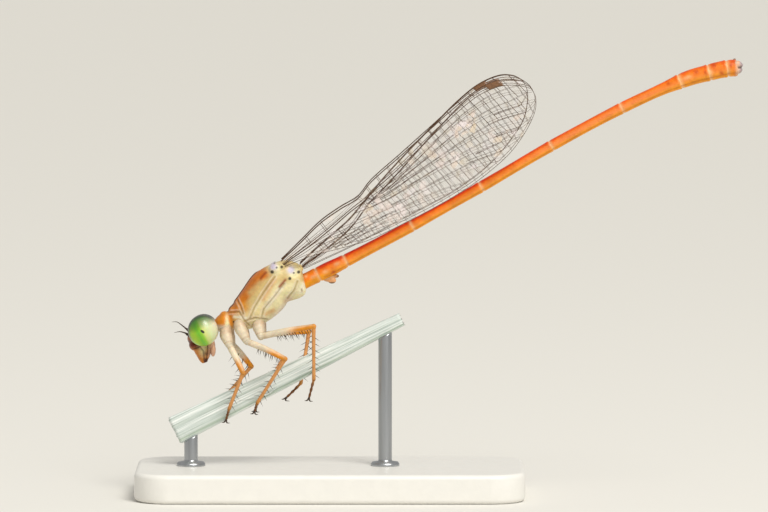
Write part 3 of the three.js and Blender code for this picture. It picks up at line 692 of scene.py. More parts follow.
def paint_abdomen(place, rise, fold):
    number = np.floor(place)
    share = place - number
    coat = Coat(ABDOMEN_COLOURS, "orange", len(place))
    # Painted glow: the underside is made yellower, as light shining through the skin
    coat.lay("amber", smooth(0.25, -0.4, rise) * smooth(10.5, 9.0, place))
    coat.lay("red", smooth(0.3, 0.85, rise) * smooth(0.9, 1.3, place) * smooth(6.6, 3.4, place))
    coat.lay("red", 0.45 * smooth(0.55, 0.95, rise) * smooth(3.0, 5.0, place))
    # Painted highlights: a salmon sheen on the side of the middle rings, and a salmon band just below
    # the middle of the side from the second ring on
    sheen = bell(rise - 0.15, 0.4) * smooth(4.2, 5.2, place) * smooth(7.2, 6.2, place)
    coat.lay("salmon_highlight", 0.55 * sheen)
    coat.lay("salmon_highlight", 0.4 * bell(rise + 0.1, 0.3) * smooth(1.0, 2.0, place))
    # Pale membrane behind each joint
    joints = np.array(ABDOMEN_JOINTS)[:, :2]
    lengths = np.linalg.norm(np.diff(joints, axis=0), axis=1)[number.astype(int)]
    behind = bell(share * lengths, 0.1) + bell((1 - share) * lengths, 0.06)
    coat.lay("ring", np.clip(behind, 0, 1) * 0.75 * smooth(0.6, 1.0, place))
    coat.lay("rust", 0.5 * fold)
    for spot, height, length in ABDOMEN_BLOTCHES:
        blotch = bell(place - spot, length) * bell(rise - height, 0.28)
        coat.lay("rust", 0.85 * blotch)
    # Painted highlights: pale patches laid in the colour of the joint rings
    for spot, height, length in ABDOMEN_SHEENS:
        coat.lay("ring", 0.6 * bell(place - spot, length) * bell(rise - height, 0.22))
    # Red edge in front of each joint's pale ring
    edge = bell((1 - share) * lengths - 0.22, 0.1) + bell(share * lengths - 0.28, 0.08)
    edge = 0.4 * np.clip(edge, 0, 1)
    coat.lay("red", edge * smooth(0.2, 0.7, rise) * smooth(1.5, 2.0, place))
    coat.lay("pale", smooth(9.6, 9.95, place) * 0.7)
    return coat.colours


# The male's small organ under the second ring: centre and half sizes
LOBES = (
    ((-0.1, 0, 13.5), (0.42, 0.2, 0.3)),
    ((0.12, 0.1, 13.3), (0.26, 0.1, 0.2)),
    ((0.12, -0.1, 13.3), (0.26, 0.1, 0.2)),
    ((0.36, 0, 13.56), (0.2, 0.1, 0.12)),
)
# Claspers at the tip, on the left and the right: route and radii
CLASPERS = (
    (((24.9, 0.2, 26.6), (25.15, 0.22, 26.64), (25.36, 0.14, 26.54)), (0.24, 0.2, 0.1)),
    (((24.9, 0.18, 26.24), (25.15, 0.2, 26.26), (25.33, 0.12, 26.36)), (0.24, 0.19, 0.1)),
)
TIP_KNOB = ((24.9, 0, 26.9), (0.1, 0.08, 0.1))
TIP_SEAM = ((25.0, 26.42), (25.4, 26.46))


def add_lobes(shell):
    form = Shell()
    for centre, half in LOBES:
        form.add(*pill(centre, half))
    points, faces, _ = fuse(form, "lobe_form", 0.025, 2)
    x, _, z = points.T
    coat = Coat(ABDOMEN_COLOURS, "flesh", len(points))
    tips = smooth(13.24, 13.14, z) + bell(np.hypot(x - 0.5, z - 13.56), 0.1)
    coat.lay("dark", np.clip(tips, 0, 1) * 0.85)
    shell.add(points, faces, coat.colours)


def add_claspers(shell):
    form = Shell()
    for side in (-1, 1):
        for route, radii in CLASPERS:
            form.add(*limb([mirrored(point, side) for point in route], radii, 16))
    form.add(*pill(*TIP_KNOB, 16, 10))
    points, faces, _ = fuse(form, "tip_form", 0.025, 2)
    x, _, z = points.T
    coat = Coat(ABDOMEN_COLOURS, "pale", len(points))
    coat.lay("lilac", smooth(25.1, 25.3, x))
    coat.lay("dark", 0.6 * bell(line_distance(points, TIP_SEAM), 0.07))
    coat.lay("dark", 0.8 * smooth(26.88, 26.95, z))
    shell.add(points, faces, coat.colours)


# Legs

LEG_COLOURS = {
    "root": srgb(234, 218, 190),
    "crease": srgb(176, 130, 84),
    "shank": srgb(236, 148, 12),
    "shin": srgb(224, 158, 92),
    "knee": srgb(222, 146, 60),
    "foot": srgb(120, 72, 22),
    "shade": srgb(196, 128, 40),
}
COXA_RADII = (0.38, 0.33, 0.23)
FEMUR_RADII = (0.19, 0.205, 0.2, 0.19, 0.175, 0.16)
TIBIA_RADII = (0.14, 0.115, 0.11, 0.105, 0.105, 0.115)
TARSUS_RADII = (0.11, 0.075, 0.095, 0.065, 0.09, 0.06, 0.08, 0.05)
# Distance of the toes and of the claws from the middle of the blade, just off its face
GRIP = {"toes": 0.34, "claws": 0.27}


def between(start, end, shares, bow=0.0):
    """Points on the way from start to end, bowed slightly upwards."""
    rows = [start + (end - start) * share + np.array((0, 0, bow * math.sin(math.pi * share)))
            for share in shares]
    return np.array(rows)


def share_along(points, start, end):
    """How far each point lies on the way from start to end, from 0 to 1."""
    return np.clip(((points - start) @ (end - start)) / np.sum((end - start) ** 2), 0, 1)


def add_coxa(shell, hip, trochanter):
    inside = hip * np.array((1, 0.35, 1)) + np.array((0.05, 0, 0.5))
    route = (inside, hip, (hip + trochanter) / 2, trochanter)
    points, faces = limb(route, (0.3,) + COXA_RADII, 24, 9)
    share = share_along(points, hip, trochanter)
    coat = Coat(LEG_COLOURS, "root", len(points))
    # Painted shade where the coxa goes into the body; also a darker ring near the trochanter and a
    # darker rear side
    coat.lay("crease", 0.35 * smooth(0.25, 0.0, share) + 0.4 * bell(share - 0.8, 0.04))
    middle = hip + (trochanter - hip) * share[:, None]
    coat.lay("crease", 0.35 * smooth(0.05, 0.3, points[:, 0] - middle[:, 0]))
    shell.add(points, faces, coat.colours)
    points, faces = pill(trochanter, (0.22, 0.22, 0.22), 24, 14)
    shell.add(points, faces, Coat(LEG_COLOURS, "root", len(points)).colours)


def add_femur(shell, trochanter, knee):
    points, faces = limb(between(trochanter, knee, np.linspace(0, 1, 6), 0.05), FEMUR_RADII, 20, 7)
    share = share_along(points, trochanter, knee)
    coat = Coat(LEG_COLOURS, "root", len(points))
    coat.lay("shank", smooth(0.42, 0.75, share))
    slope = trochanter[2] + (knee[2] - trochanter[2]) * share
    coat.lay("root", 0.6 * smooth(0.02, 0.16, points[:, 2] - slope))
    coat.lay("crease", 0.4 * bell(share - 0.1, 0.02))
    coat.lay("knee", 0.4 * smooth(0.9, 1.0, share))
    shell.add(points, faces, coat.colours)
    points, faces = pill(knee, (0.165, 0.16, 0.165), 16, 10)
    shell.add(points, faces, Coat(LEG_COLOURS, "knee", len(points)).colours)


def add_shin(shell, knee, ankle):
    points, faces = limb(between(knee, ankle, np.linspace(0, 1, 6)), TIBIA_RADII, 16, 7)
    share = share_along(points, knee, ankle)
    coat = Coat(LEG_COLOURS, "shin", len(points))
    coat.lay("knee", smooth(0.1, 0.0, share))
    coat.lay("shade", 0.5 * smooth(0.85, 1.0, share))
    shell.add(points, faces, coat.colours)


def add_foot(shell, ankle, claws):
    """Beaded toes that curl in towards the blade."""
    steps = np.linspace(0, 1, len(TARSUS_RADII))
    route = between(ankle, claws, steps)
    toes = math.copysign(GRIP["toes"], claws[1])
    route[:, 1] = toes + (ankle[1] - toes) * (1 - steps) ** 2
    points, faces = limb(route, TARSUS_RADII, 14, 5)
    coat = Coat(LEG_COLOURS, "shade", len(points))
    coat.lay("foot", smooth(0.0, 0.5, share_along(points, ankle, claws)))
    shell.add(points, faces, coat.colours)


def add_leg(shell, points):
    hip, trochanter, knee, ankle, claws = (np.array(point) for point in points)
    add_coxa(shell, hip, trochanter)
    add_femur(shell, trochanter, knee)
    add_shin(shell, knee, ankle)
    add_foot(shell, ankle, claws)


def make_body_skin():
    skin = Shell()
    points, faces, normals = make_head_points()
    points, folds = shape_head(points, normals)
    skin.add(on_head(points), faces, paint_head(points, folds))
    points, faces, normals = make_thorax_points()
    points, *relief = shape_thorax(points, normals)
    skin.add(points, faces, paint_thorax(points, *relief))
    add_abdomen(skin)
    add_lobes(skin)
    add_claspers(skin)
    for points in LEGS.values():
        add_leg(skin, points)
    return skin.to_object("body_skin", cuticle_material())


# Eyes

def make_eye(name, side):
    points, faces = pill((0.0, side * EYE["y"], 0.0), EYE["half"], 96, 64)
    shell = Shell()
    shell.add(on_head(points), faces)
    centre = on_head([(0.0, side * EYE["y"], 0.0)])[0]
    return shell.to_object(name, eye_material(centre, side))


# Node trees

def connect(node, inputs):
    """Links each input that is given a socket and sets each that is given a value."""
    for key, value in inputs.items():
        if isinstance(value, bpy.types.NodeSocket):
            node.id_data.links.new(value, node.inputs[key])
        else:
            node.inputs[key].default_value = value


def add(tree, kind, inputs, **settings):
    """Adds a node with its settings and inputs, and returns its outputs."""
    node = tree.nodes.new(kind)
    for name, value in settings.items():
        setattr(node, name, value)
    connect(node, inputs)
    return node.outputs


def new_group(name, kind, inputs, outputs):
    """A node group with named inputs and outputs, and the outputs of its input node."""
    tree = bpy.data.node_groups.new(name, kind)
    for label, socket_kind, value in inputs:
        socket = tree.interface.new_socket(label, in_out="INPUT", socket_type=socket_kind)
        if value is not None:
            socket.default_value = value
    for label, socket_kind in outputs:
        tree.interface.new_socket(label, in_out="OUTPUT", socket_type=socket_kind)
    return tree, add(tree, "NodeGroupInput", {})


def new_geometry_tree(name, inputs):
    return new_group(name, "GeometryNodeTree",
                     (("Geometry", "NodeSocketGeometry", None), *inputs,
                      ("Material", "NodeSocketMaterial", None)),
                     (("Geometry", "NodeSocketGeometry"),))


def end_geometry_tree(tree, geometry, material):
    """Makes the instances real, sets their material and ends the tree."""
    real = add(tree, "GeometryNodeRealizeInstances", {"Geometry": geometry})
    coated = add(tree, "GeometryNodeSetMaterial", {"Geometry": real["Geometry"], "Material": material})
    add(tree, "NodeGroupOutput", {"Geometry": coated["Geometry"]})


def stored(tree, name, kind="FLOAT"):
    """A value that the mesh carries at each of its points."""
    return add(tree, "GeometryNodeInputNamedAttribute", {"Name": name}, data_type=kind)["Attribute"]


def wire_tree():
    """Turns loose edges into round closed tubes. The radius attribute is each point's radius."""
    tree, start = new_geometry_tree("round_wires", (("Sides", "NodeSocketInt", 6),))
    radius = stored(tree, "radius")
    curve = add(tree, "GeometryNodeMeshToCurve", {"Mesh": start["Geometry"]})
    sized = add(tree, "GeometryNodeSetCurveRadius", {"Curve": curve["Curve"], "Radius": radius})
    profile = add(tree, "GeometryNodeCurvePrimitiveCircle", {"Resolution": start["Sides"],
                                                             "Radius": 1.0})
    tube = add(tree, "GeometryNodeCurveToMesh", {"Curve": sized["Curve"], "Scale": radius,
                                                 "Profile Curve": profile["Curve"], "Fill Caps": True})
    rounded = add(tree, "GeometryNodeSetShadeSmooth", {"Geometry": tube["Mesh"]})
    end_geometry_tree(tree, rounded["Geometry"], start["Material"])
    return tree


def spine_tree():
    """Sets a tapering spine on every point, along its aim and as long as its length attribute."""
    tree, start = new_geometry_tree("spines", (("Thickness", "NodeSocketFloat", 0.03 * MM),
                                               ("Sides", "NodeSocketInt", 7)))
    cone = add(tree, "GeometryNodeMeshCone", {"Vertices": start["Sides"], "Side Segments": 3,
                                              "Radius Top": 0.0, "Radius Bottom": 1.0, "Depth": 1.0})
    aim = stored(tree, "aim", "FLOAT_VECTOR")
    align = add(tree, "FunctionNodeAlignRotationToVector", {"Vector": aim}, axis="Z")
    size = add(tree, "ShaderNodeCombineXYZ", {"X": start["Thickness"], "Y": start["Thickness"],
                                              "Z": stored(tree, "length")})
    placed = add(tree, "GeometryNodeInstanceOnPoints",
                 {"Points": start["Geometry"], "Instance": cone["Mesh"],
                  "Rotation": align["Rotation"], "Scale": size["Vector"]})
    end_geometry_tree(tree, placed["Instances"], start["Material"])
    return tree


def grow(name, mesh, tree, values):
    """Runs a tree on a mesh and returns the result as a plain object."""
    source = link_object(name + "_source", mesh)
    modifier = source.modifiers.new("grow", "NODES")
    modifier.node_group = tree
    for item in tree.interface.items_tree:
        if item.item_type == "SOCKET" and item.in_out == "INPUT" and item.name in values:
            modifier[item.identifier] = values[item.name]
    graph = bpy.context.evaluated_depsgraph_get()
    result = bpy.data.meshes.new_from_object(source.evaluated_get(graph))
    result.name = name
    bpy.data.objects.remove(source)
    return link_object(name, result)


def wires_to_mesh(name, wires):
    """Each wire is a list of points in millimetres and a radius for each."""
    points, edges, radii = [], [], []
    for route, sizes in wires:
        offset = len(points)
        points += [tuple(np.array(p) * MM) for p in route]
        radii += [size * MM for size in sizes]
        edges += [(offset + i, offset + i + 1) for i in range(len(route) - 1)]
    mesh = bpy.data.meshes.new(name)
    mesh.from_pydata(points, edges, [])
    attribute = mesh.attributes.new("radius", "FLOAT", "POINT")
    attribute.data.foreach_set("value", np.array(radii, np.float32))
    return mesh


# Feelers, spines and claws

ANTENNA_ROUTES = {
    "left": ((-0.84, -0.42, -0.3), (-0.98, -0.5, -0.26), (-1.1, -0.56, -0.18), (-1.36, -0.66, -0.1),
             (-1.56, -0.74, -0.1), (-1.78, -0.82, -0.16)),
    "right": ((-0.84, 0.42, -0.1), (-0.98, 0.5, 0.0), (-1.12, 0.56, 0.1), (-1.4, 0.66, 0.32),
              (-1.66, 0.76, 0.48), (-1.98, 0.88, 0.48)),
}
ANTENNA_RADII = (0.1, 0.085, 0.05, 0.034, 0.022, 0.01)


def make_antenna(side):
    rows = np.hstack([np.array(ANTENNA_ROUTES[side]), np.array(ANTENNA_RADII)[:, None]])
    path = glide(rows, 31)
    mesh = wires_to_mesh("feeler", [(on_head(path[:, :3]), path[:, 3])])
    return grow(f"feeler_{side}", mesh, WIRES, {"Sides": 12, "Material": DARK_HORN})


SPINES = {
    "femur": {"per_mm": 1.6, "spread": 0.4, "length": 0.42, "radius": 0.19, "lean": 0.3, "first": 0.28},
    "tibia": {"per_mm": 2.1, "spread": 1.3, "length": 0.5, "radius": 0.11, "lean": 0.75, "first": 0.12},
}
# Share of the leg piece where the rows end, how deep a spine is set, and how spines vary
SPINE = {"thickness": 0.028, "last": 0.95, "sunk": 0.05, "slip": 0.12, "turn": 0.15, "lean": 0.1,
         "length": (0.85, 1.15)}


def spine_rows(start, end, below, kind, draw):
    """Points, aims and lengths of two rows of spines along a leg piece."""
    plan = SPINES[kind]
    start, end = Vector(start), Vector(end)
    along = (end - start).normalized()
    reach = (end - start).length
    flat = (Vector(below) - along * Vector(below).dot(along)).normalized()
    count = round(reach * plan["per_mm"])
    rows = []
    for turn, offset in ((-plan["spread"], 0.35), (plan["spread"], 0.75)):
        for i in range(count):
            step = (i + offset + draw.uniform(-SPINE["slip"], SPINE["slip"])) / count
            share = plan["first"] + (SPINE["last"] - plan["first"]) * step
            out = flat.copy()
            out.rotate(Matrix.Rotation(turn + draw.uniform(-SPINE["turn"], SPINE["turn"]), 3, along))
            root = start + along * reach * share + out * (plan["radius"] - SPINE["sunk"])
            lean = plan["lean"] + draw.uniform(-SPINE["lean"], SPINE["lean"])
            length = plan["length"] * draw.uniform(*SPINE["length"])
            rows.append((root, (out + along * lean).normalized(), length))
    return rows


def make_spines():
    draw = random.Random(SEED)
    rows = []
    for points in LEGS.values():
        _, trochanter, knee, ankle, _ = points
        rows += spine_rows(trochanter, knee, (0, 0, -1), "femur", draw)
        rows += spine_rows(knee, ankle, (0, -math.copysign(1, knee[1]), 0), "tibia", draw)
    mesh = bpy.data.meshes.new("spine_roots")
    mesh.from_pydata([row[0] * MM for row in rows], [], [])
    aims = mesh.attributes.new("aim", "FLOAT_VECTOR", "POINT")
    aims.data.foreach_set("vector", np.array([row[1] for row in rows], np.float32).ravel())
    lengths = mesh.attributes.new("length", "FLOAT", "POINT")
    lengths.data.foreach_set("value", np.array([row[2] * MM for row in rows], np.float32))
    return grow("leg_spines", mesh, spine_tree(), {"Thickness": SPINE["thickness"] * MM,
                                                   "Material": DARK_HORN})


# The two claws of a foot: how far apart, how far inwards, and the radius at each of three points
CLAW = {"spread": 0.5, "inward": 0.12, "reach": (0.05, 0.2, 0.34), "radii": (0.06, 0.042, 0.01)}


def make_claws():
    wires = []
    sunk, bend, length = CLAW["reach"]
    for points in LEGS.values():
        ankle, tip = Vector(points[3]), Vector(points[4])
        onwards = (tip - ankle).normalized()
        tip.y = math.copysign(GRIP["toes"], tip.y)
        for side in (-1, 1):
            spread = Vector((side * CLAW["spread"], -math.copysign(CLAW["inward"], tip.y), 0))
            first = tip - onwards * sunk
            middle = tip + (onwards + spread).normalized() * bend
            end = tip + (onwards * 0.5 + spread * 1.3).normalized() * length
            corners = zip((first, middle, end), CLAW["radii"])
            path = glide([(*point, radius) for point, radius in corners], 13)
            reach = np.maximum(np.abs(path[:, 1]), GRIP["claws"])
            path[:, 1] = np.copysign(reach, tip.y)
            wires.append((path[:, :3], path[:, 3]))
    mesh = wires_to_mesh("claw_routes", wires)
    return grow("claws", mesh, WIRES, {"Sides": 10, "Material": DARK_HORN})


# Wings

EDGE_ROWS = {pair: {edge: glide(table, 400) for edge, table in edges.items()}
             for pair, edges in WING_EDGES.items()}


def edge_at(pair, edge, along):
    rows = EDGE_ROWS[pair][edge]
    return np.interp(along, rows[:, 0], rows[:, 1])


def wing_point(pair, side, along, offset, lift=0.0):
    """Millimetre point for a distance along the wing and an offset towards its leading edge."""
    place = WING_PAIRS[pair]
    pitch = math.radians(place["pitch"])
    x = place["base"][0] + along * math.cos(pitch) - offset * math.sin(pitch)
    z = place["base"][1] + along * math.sin(pitch) + offset * math.cos(pitch)
    bend = smooth(0.3, 0.3 + place["settle"], along)
    y = side * (place["root_y"] + (place["rest_y"] - place["root_y"]) * bend + lift)
    return np.array((x, y, z))


def pleat(share):
    """The membrane's shallow pleats, highest and lowest on the long veins."""
    return 0.045 * math.sin(share * math.pi * 7) * (1 - 0.6 * share)


class Net:
    """The veins of one wing, as lines of offset against distance along it."""

    def __init__(self, pair):
        self.pair = pair
        self.length = WING_PAIRS[pair]["length"]
        scale = self.length / WING_PAIRS["fore"]["length"]
        self.lines = {}
        for name, table in LONG_VEINS.items():
            rows = glide(table, 60)
            along, offset = rows[:, 0], rows[:, 1]
            lead, trail = edge_at("fore", "leading", along), edge_at("fore", "trailing", along)
            share = np.clip((lead - offset) / np.maximum(lead - trail, 1e-6), 0.02, 0.995)
            along = along * scale
            lead, trail = edge_at(pair, "leading", along), edge_at(pair, "trailing", along)
            self.lines[name] = (along, lead - share * (lead - trail))

    def at(self, name, along):
        if name == "costa":
            return edge_at(self.pair, "leading", along)
        if name == "margin":
            return edge_at(self.pair, "trailing", along)
        rows, offsets = self.lines[name]
        return np.interp(along, rows, offsets)

    def span(self, name):
        if name in ("costa", "margin"):
            return 0.0, self.length - 0.02
        rows = self.lines[name][0]
        return rows[0], rows[-1]


def add_between_lines(net):
    """Extra long veins where two neighbours stand further apart than a cell is wide."""
    order = ("radius", "radial_2", "radial_3", "radial_4", "radial_5", "media", "cubitus", "anal")
    for upper, lower in zip(order, order[1:] + ("margin",)):
        first, last = net.span(upper)
        alongs = np.linspace(first, last, 80)
        low_first, low_last = net.span(lower)
        lows = np.where(alongs <= low_last, net.at(lower, alongs), net.at("margin", alongs))
        gaps = net.at(upper, alongs) - lows
        wide = (gaps > 0.86) & (alongs > max(low_first, 5.0))
        if wide.sum() < 12:
            continue
        begin = np.argmax(wide)
        run = alongs[begin:]
        middle = (net.at(upper, run) + lows[begin:]) / 2
        net.lines[f"{upper}_between"] = (run, middle)


# Cross veins: pitch on the costa and on the other veins, where they start and where the nodus is
CROSS = {"costa_pitch": 0.86, "pitch": 0.6, "jitter": 0.05, "first": 3.6, "nodus": 6.1}
# Fixed cross veins near the root: distance along, slant, and the veins they join
ROOT_VEINS = ((2.02, 0.05, "costa", "radius"), (3.3, 0.05, "costa", "radius"),
              (2.4, 0.12, "radius", "anal"), (3.35, 0.12, "radius", "anal"),
              (CROSS["nodus"], 0.25, "costa", "radial_5"))


def cross_veins(net, draw):
    """Short veins that join each long vein to the next one below it."""
    names = ["costa"] + list(net.lines) + ["margin"]
    scale = net.length / WING_PAIRS["fore"]["length"]
    wires = []
    for name in names[:-1]:
        if name == "subcosta":
            continue
        first, last = net.span(name)
        pitch = CROSS["costa_pitch" if name == "costa" else "pitch"]
        rung = math.ceil((first + 0.2) / pitch)
        while rung * pitch < min(last, net.length - 0.15):
            along = rung * pitch + draw.uniform(-CROSS["jitter"], CROSS["jitter"])
            rung += 1
            here = net.at(name, along)
            below = []
            for other in names:
                low, high = net.span(other)
                if other != name and low <= along <= high and net.at(other, along) < here - 0.06:
                    below.append(net.at(other, along))
            if not below or along >= min(last, net.length - 0.12):
                continue
            if along < CROSS["nodus"] * scale and name in ("costa", "radius"):
                continue
            if along < CROSS["first"] * scale:
                continue
            slant = 0.15 * (here - max(below)) * draw.uniform(0.4, 1.2)
            wires.append((along, here, along + slant, max(below)))
    for along, slant, upper, lower in ROOT_VEINS:
        along *= scale
        wires.append((along, net.at(upper, along), along + slant, net.at(lower, along + slant)))
    return wires


def make_wing(pair, side):
    draw = random.Random(f"{SEED} {pair}")
    net = Net(pair)
    add_between_lines(net)

    def spot(along, offset):
        lead, trail = edge_at(pair, "leading", along), edge_at(pair, "trailing", along)
        share = (lead - offset) / max(lead - trail, 1e-6)
        return wing_point(pair, side, along, offset, pleat(min(max(share, 0), 1)))

    wires = []
    for name in ["costa", "margin"] + list(net.lines):
        if name in ("costa", "margin"):
            rows = glide(WING_EDGES[pair]["leading" if name == "costa" else "trailing"], 110)
        else:
            rows = [(along, float(net.at(name, along))) for along in np.linspace(*net.span(name), 70)]
        taper = np.linspace(1, 0.9 if name == "margin" else 0.45, len(rows))
        radius = VEIN_RADII.get(name, VEIN_RADII["other"])
        wires.append(([spot(along, offset) for along, offset in rows], radius * taper))
    for along, high, along_end, low in cross_veins(net, draw):
        route = [spot(along + (along_end - along) * t, high + (low - high) * t) for t in (0.0, 0.5, 1.0)]
        size = VEIN_RADII["cross"] * (1.5 if high > float(net.at("radius", along)) + 0.02 else 1.0)
        wires.append((route, [size] * 3))
    veins = grow(f"veined_wing_{pair}_{'left' if side < 0 else 'right'}",
                 wires_to_mesh("vein_routes", wires), WIRES, {"Sides": 6, "Material": VEIN})
    sheets = (make_membrane(pair, spot), make_stigma(pair, spot, net))
    with bpy.context.temp_override(active_object=veins, object=veins,
                                   selected_editable_objects=[veins, *sheets]):
        bpy.ops.object.join()
    return veins


# Where the dark cell near the tip starts and ends, how it leans and how thick it is
STIGMA_SPANS = {"fore": (16.4, 17.3), "hind": (15.0, 15.85)}
STIGMA_CELL = {"lean": 0.1, "thickness": 0.07, "steps": 9, "columns": 5}
MEMBRANE = {"ribs": 150, "columns": 40, "thickness": 0.012}


def make_plate(name, grid, thickness, material):
    """A closed plate of even thickness around a grid of points, its faces turned outwards."""
    rows, width = grid.shape[:2]
    lift = np.array((0, thickness / 2, 0))
    points = grid.reshape(-1, 3)
    half = len(points)
    faces = []
    for i in range(rows - 1):
        for j in range(width - 1):
            a, b = i * width + j, i * width + j + 1
            faces.append((a, b, b + width, a + width))
            faces.append((half + a, half + a + width, half + b + width, half + b))
    rim = list(range(width)) + [i * width + width - 1 for i in range(1, rows)]
    rim += [(rows - 1) * width + j for j in range(width - 2, -1, -1)]
    rim += [i * width for i in range(rows - 2, 0, -1)]
    for a, b in zip(rim, rim[1:] + rim[:1]):
        faces.append((b, a, half + a, half + b))
    shell = Shell()
    shell.add(np.vstack([points - lift, points + lift]), faces)
    obj = shell.to_object(name, material)
    build = bmesh.new()
    build.from_mesh(obj.data)
    bmesh.ops.recalc_face_normals(build, faces=build.faces)
    build.to_mesh(obj.data)
    build.free()
    return obj


def make_membrane(pair, spot):
    """The clear sheet between the wing's edges."""
    leads = glide(WING_EDGES[pair]["leading"], MEMBRANE["ribs"])
    trails = glide(WING_EDGES[pair]["trailing"], MEMBRANE["ribs"])
    columns = MEMBRANE["columns"]
    grid = [[spot(*(lead + (trail - lead) * j / columns)) for j in range(columns + 1)]
            for lead, trail in zip(leads[:-1], trails[:-1])]
    return make_plate("sheet", np.array(grid), MEMBRANE["thickness"], MEMBRANE_CLEAR)


def make_stigma(pair, spot, net):
    """The dark cell between the costa and the radius, thicker than the membrane."""
    first, last = STIGMA_SPANS[pair]
    grid = []
    for t in np.linspace(0, 1, STIGMA_CELL["steps"]):
        row = []
        for share in np.linspace(0, 1, STIGMA_CELL["columns"]):
            along = first + (last - first) * t + STIGMA_CELL["lean"] * share
            high, low = float(net.at("costa", along)), float(net.at("radius", along))
            row.append(spot(along, high + (low - high) * share))
        grid.append(row)
    return make_plate("cell", np.array(grid), STIGMA_CELL["thickness"], STIGMA)


# Perch and stand

# How the blade is built: rings along it, points round it, ribs, and the groove above its edge
BLADE_FORM = {"rings": 90, "sides": 64, "squareness": 2.8, "rib_depth": 0.022, "rib_waves": 43,
              "groove_depth": 0.12, "groove_at": -0.62}
# A loose flap of fibre stands off the lower edge
FLAP = {"route": ((-5.6, -0.22, 5.86), (-4.6, -0.27, 6.1), (-3.9, -0.3, 6.25), (-3.35, -0.32, 6.62)),
        "radii": (0.05, 0.06, 0.05, 0.012)}


def blade_axis():
    start, end = np.array(BLADE["start"]), np.array(BLADE["end"])
    return start, end, math.atan2(end[1] - start[1], end[0] - start[0])


def blade_height(share):
    low, high = BLADE["height"]
    return low + (high - low) * share


def make_perch():
    start, end, tilt = blade_axis()
    count, sides = BLADE_FORM["rings"], BLADE_FORM["sides"]
    shares = np.arange(count) / (count - 1)
    line = start + (end - start) * shares[:, None]
    centres = np.stack([line[:, 0], np.zeros(count), line[:, 1]], 1)
    heights = blade_height(shares) / 2
    half = np.full(count, BLADE["thickness"] / 2)
    points, faces = loft(centres, heights, heights, half, sides, BLADE_FORM["squareness"])
    rise = np.sin(np.tile(np.arange(sides) * 2 * math.pi / sides, count))
    # Ribs run the blade's whole length, and the lower edge is rolled with a groove above it
    outward = points - np.repeat(centres, sides, 0)
    ribs = BLADE_FORM["rib_depth"] * np.sin(rise * BLADE_FORM["rib_waves"]) * (np.abs(rise) < 0.97)
    groove = -BLADE_FORM["groove_depth"] * bell(rise - BLADE_FORM["groove_at"], 0.07)
    outward[:, 1] *= 1 + ribs + groove
    points = np.repeat(centres, sides, 0) + outward
    # Both ends are cut square but slightly torn
    wave = 0.05 * np.sin(rise * 13 + 2) + 0.03 * np.sin(rise * 31)
    wave[sides:-sides] = 0
    points += wave[:, None] * np.array((math.cos(tilt), 0, math.sin(tilt)))
    shade = bell(rise + 0.66, 0.16) + 0.4 * bell(rise - 0.2, 0.05) + 0.3 * bell(rise + 0.3, 0.04)
    colours = mix(np.ones((len(points), 3)), srgb(184, 200, 180), np.clip(shade, 0, 1) * 0.8)
    shell = Shell()
    shell.add(points, faces, colours)
    shell.add(*limb(FLAP["route"], FLAP["radii"], 10))
    return shell.to_object("perch_skin", grass_material(tilt))


def make_base():
    bm = bmesh.new()
    half_l, half_w, corner = BASE["length"] / 2, BASE["width"] / 2, BASE["corner"]
    ring = []
    for x, y, first in ((1, -1, -90), (1, 1, 0), (-1, 1, 90), (-1, -1, 180)):
        for angle in np.radians(first + np.linspace(0, 90, 13)):
            ring.append(bm.verts.new(((x * (half_l - corner) + corner * math.cos(angle)) * MM,
                                      (y * (half_w - corner) + corner * math.sin(angle)) * MM, 0)))
    bottom = bm.faces.new(ring)
    lifted = bmesh.ops.extrude_face_region(bm, geom=[bottom])
    top = [v for v in lifted["geom"] if isinstance(v, bmesh.types.BMVert)]
    bmesh.ops.translate(bm, verts=top, vec=(0, 0, BASE["height"] * MM))
    bmesh.ops.recalc_face_normals(bm, faces=bm.faces)
    mesh = bpy.data.meshes.new("stand_base_plate")
    bm.to_mesh(mesh)
    bm.free()
    obj = link_object("stand_base_plate", mesh)
    bevel = obj.modifiers.new("edge", "BEVEL")
    bevel.width = BASE["bevel"] * MM
    bevel.segments = 5
    bevel.limit_method = "ANGLE"
    mesh.shade_smooth()
    sharp = obj.modifiers.new("weights", "WEIGHTED_NORMAL")
    sharp.keep_sharp = False
    mesh.materials.append(lacquer_material())
    return obj


def make_rod(name, x):
    """A brushed rod with a collar on the base, its top slanted to the blade's underside."""
    start, end, tilt = blade_axis()
    share = (x - start[0]) / (end[0] - start[0])
    under = start[1] + (end[1] - start[1]) * share - blade_height(share) / 2 / math.cos(tilt)
    bottom, top, radius = BASE["height"], under + 0.05, ROD["radius"]
    # Height and radius of each ring, from the collar up
    profile = ((bottom - 0.05, radius * 2.1), (bottom + 0.14, radius * 2.1),
               (bottom + 0.24, radius * 1.9), (bottom + 0.3, radius * 1.02),
               (bottom + 0.4, radius), (top - 0.1, radius), (top, radius * 0.94))
    rows = []
    for z, ring in profile:
        for angle in np.arange(ROD["sides"]) * 2 * math.pi / ROD["sides"]:
            lift = ring * math.cos(angle) * math.tan(tilt) if z > under - 0.3 else 0
            rows.append((x + ring * math.cos(angle), ring * math.sin(angle), z + lift))
    shell = Shell()
    shell.add(rows, ring_faces(len(profile), ROD["sides"]))
    return shell.to_object(name, STEEL)


# Materials

def new_material(name):
    material = bpy.data.materials.new(name)
    material.use_nodes = True
    return material, material.node_tree


def finish_material(material, inputs):
    connect(material.node_tree.nodes["Principled BSDF"], inputs)
    return material


def calculate(tree, operation, *values):
    return add(tree, "ShaderNodeMath", dict(enumerate(values)), operation=operation)[0]


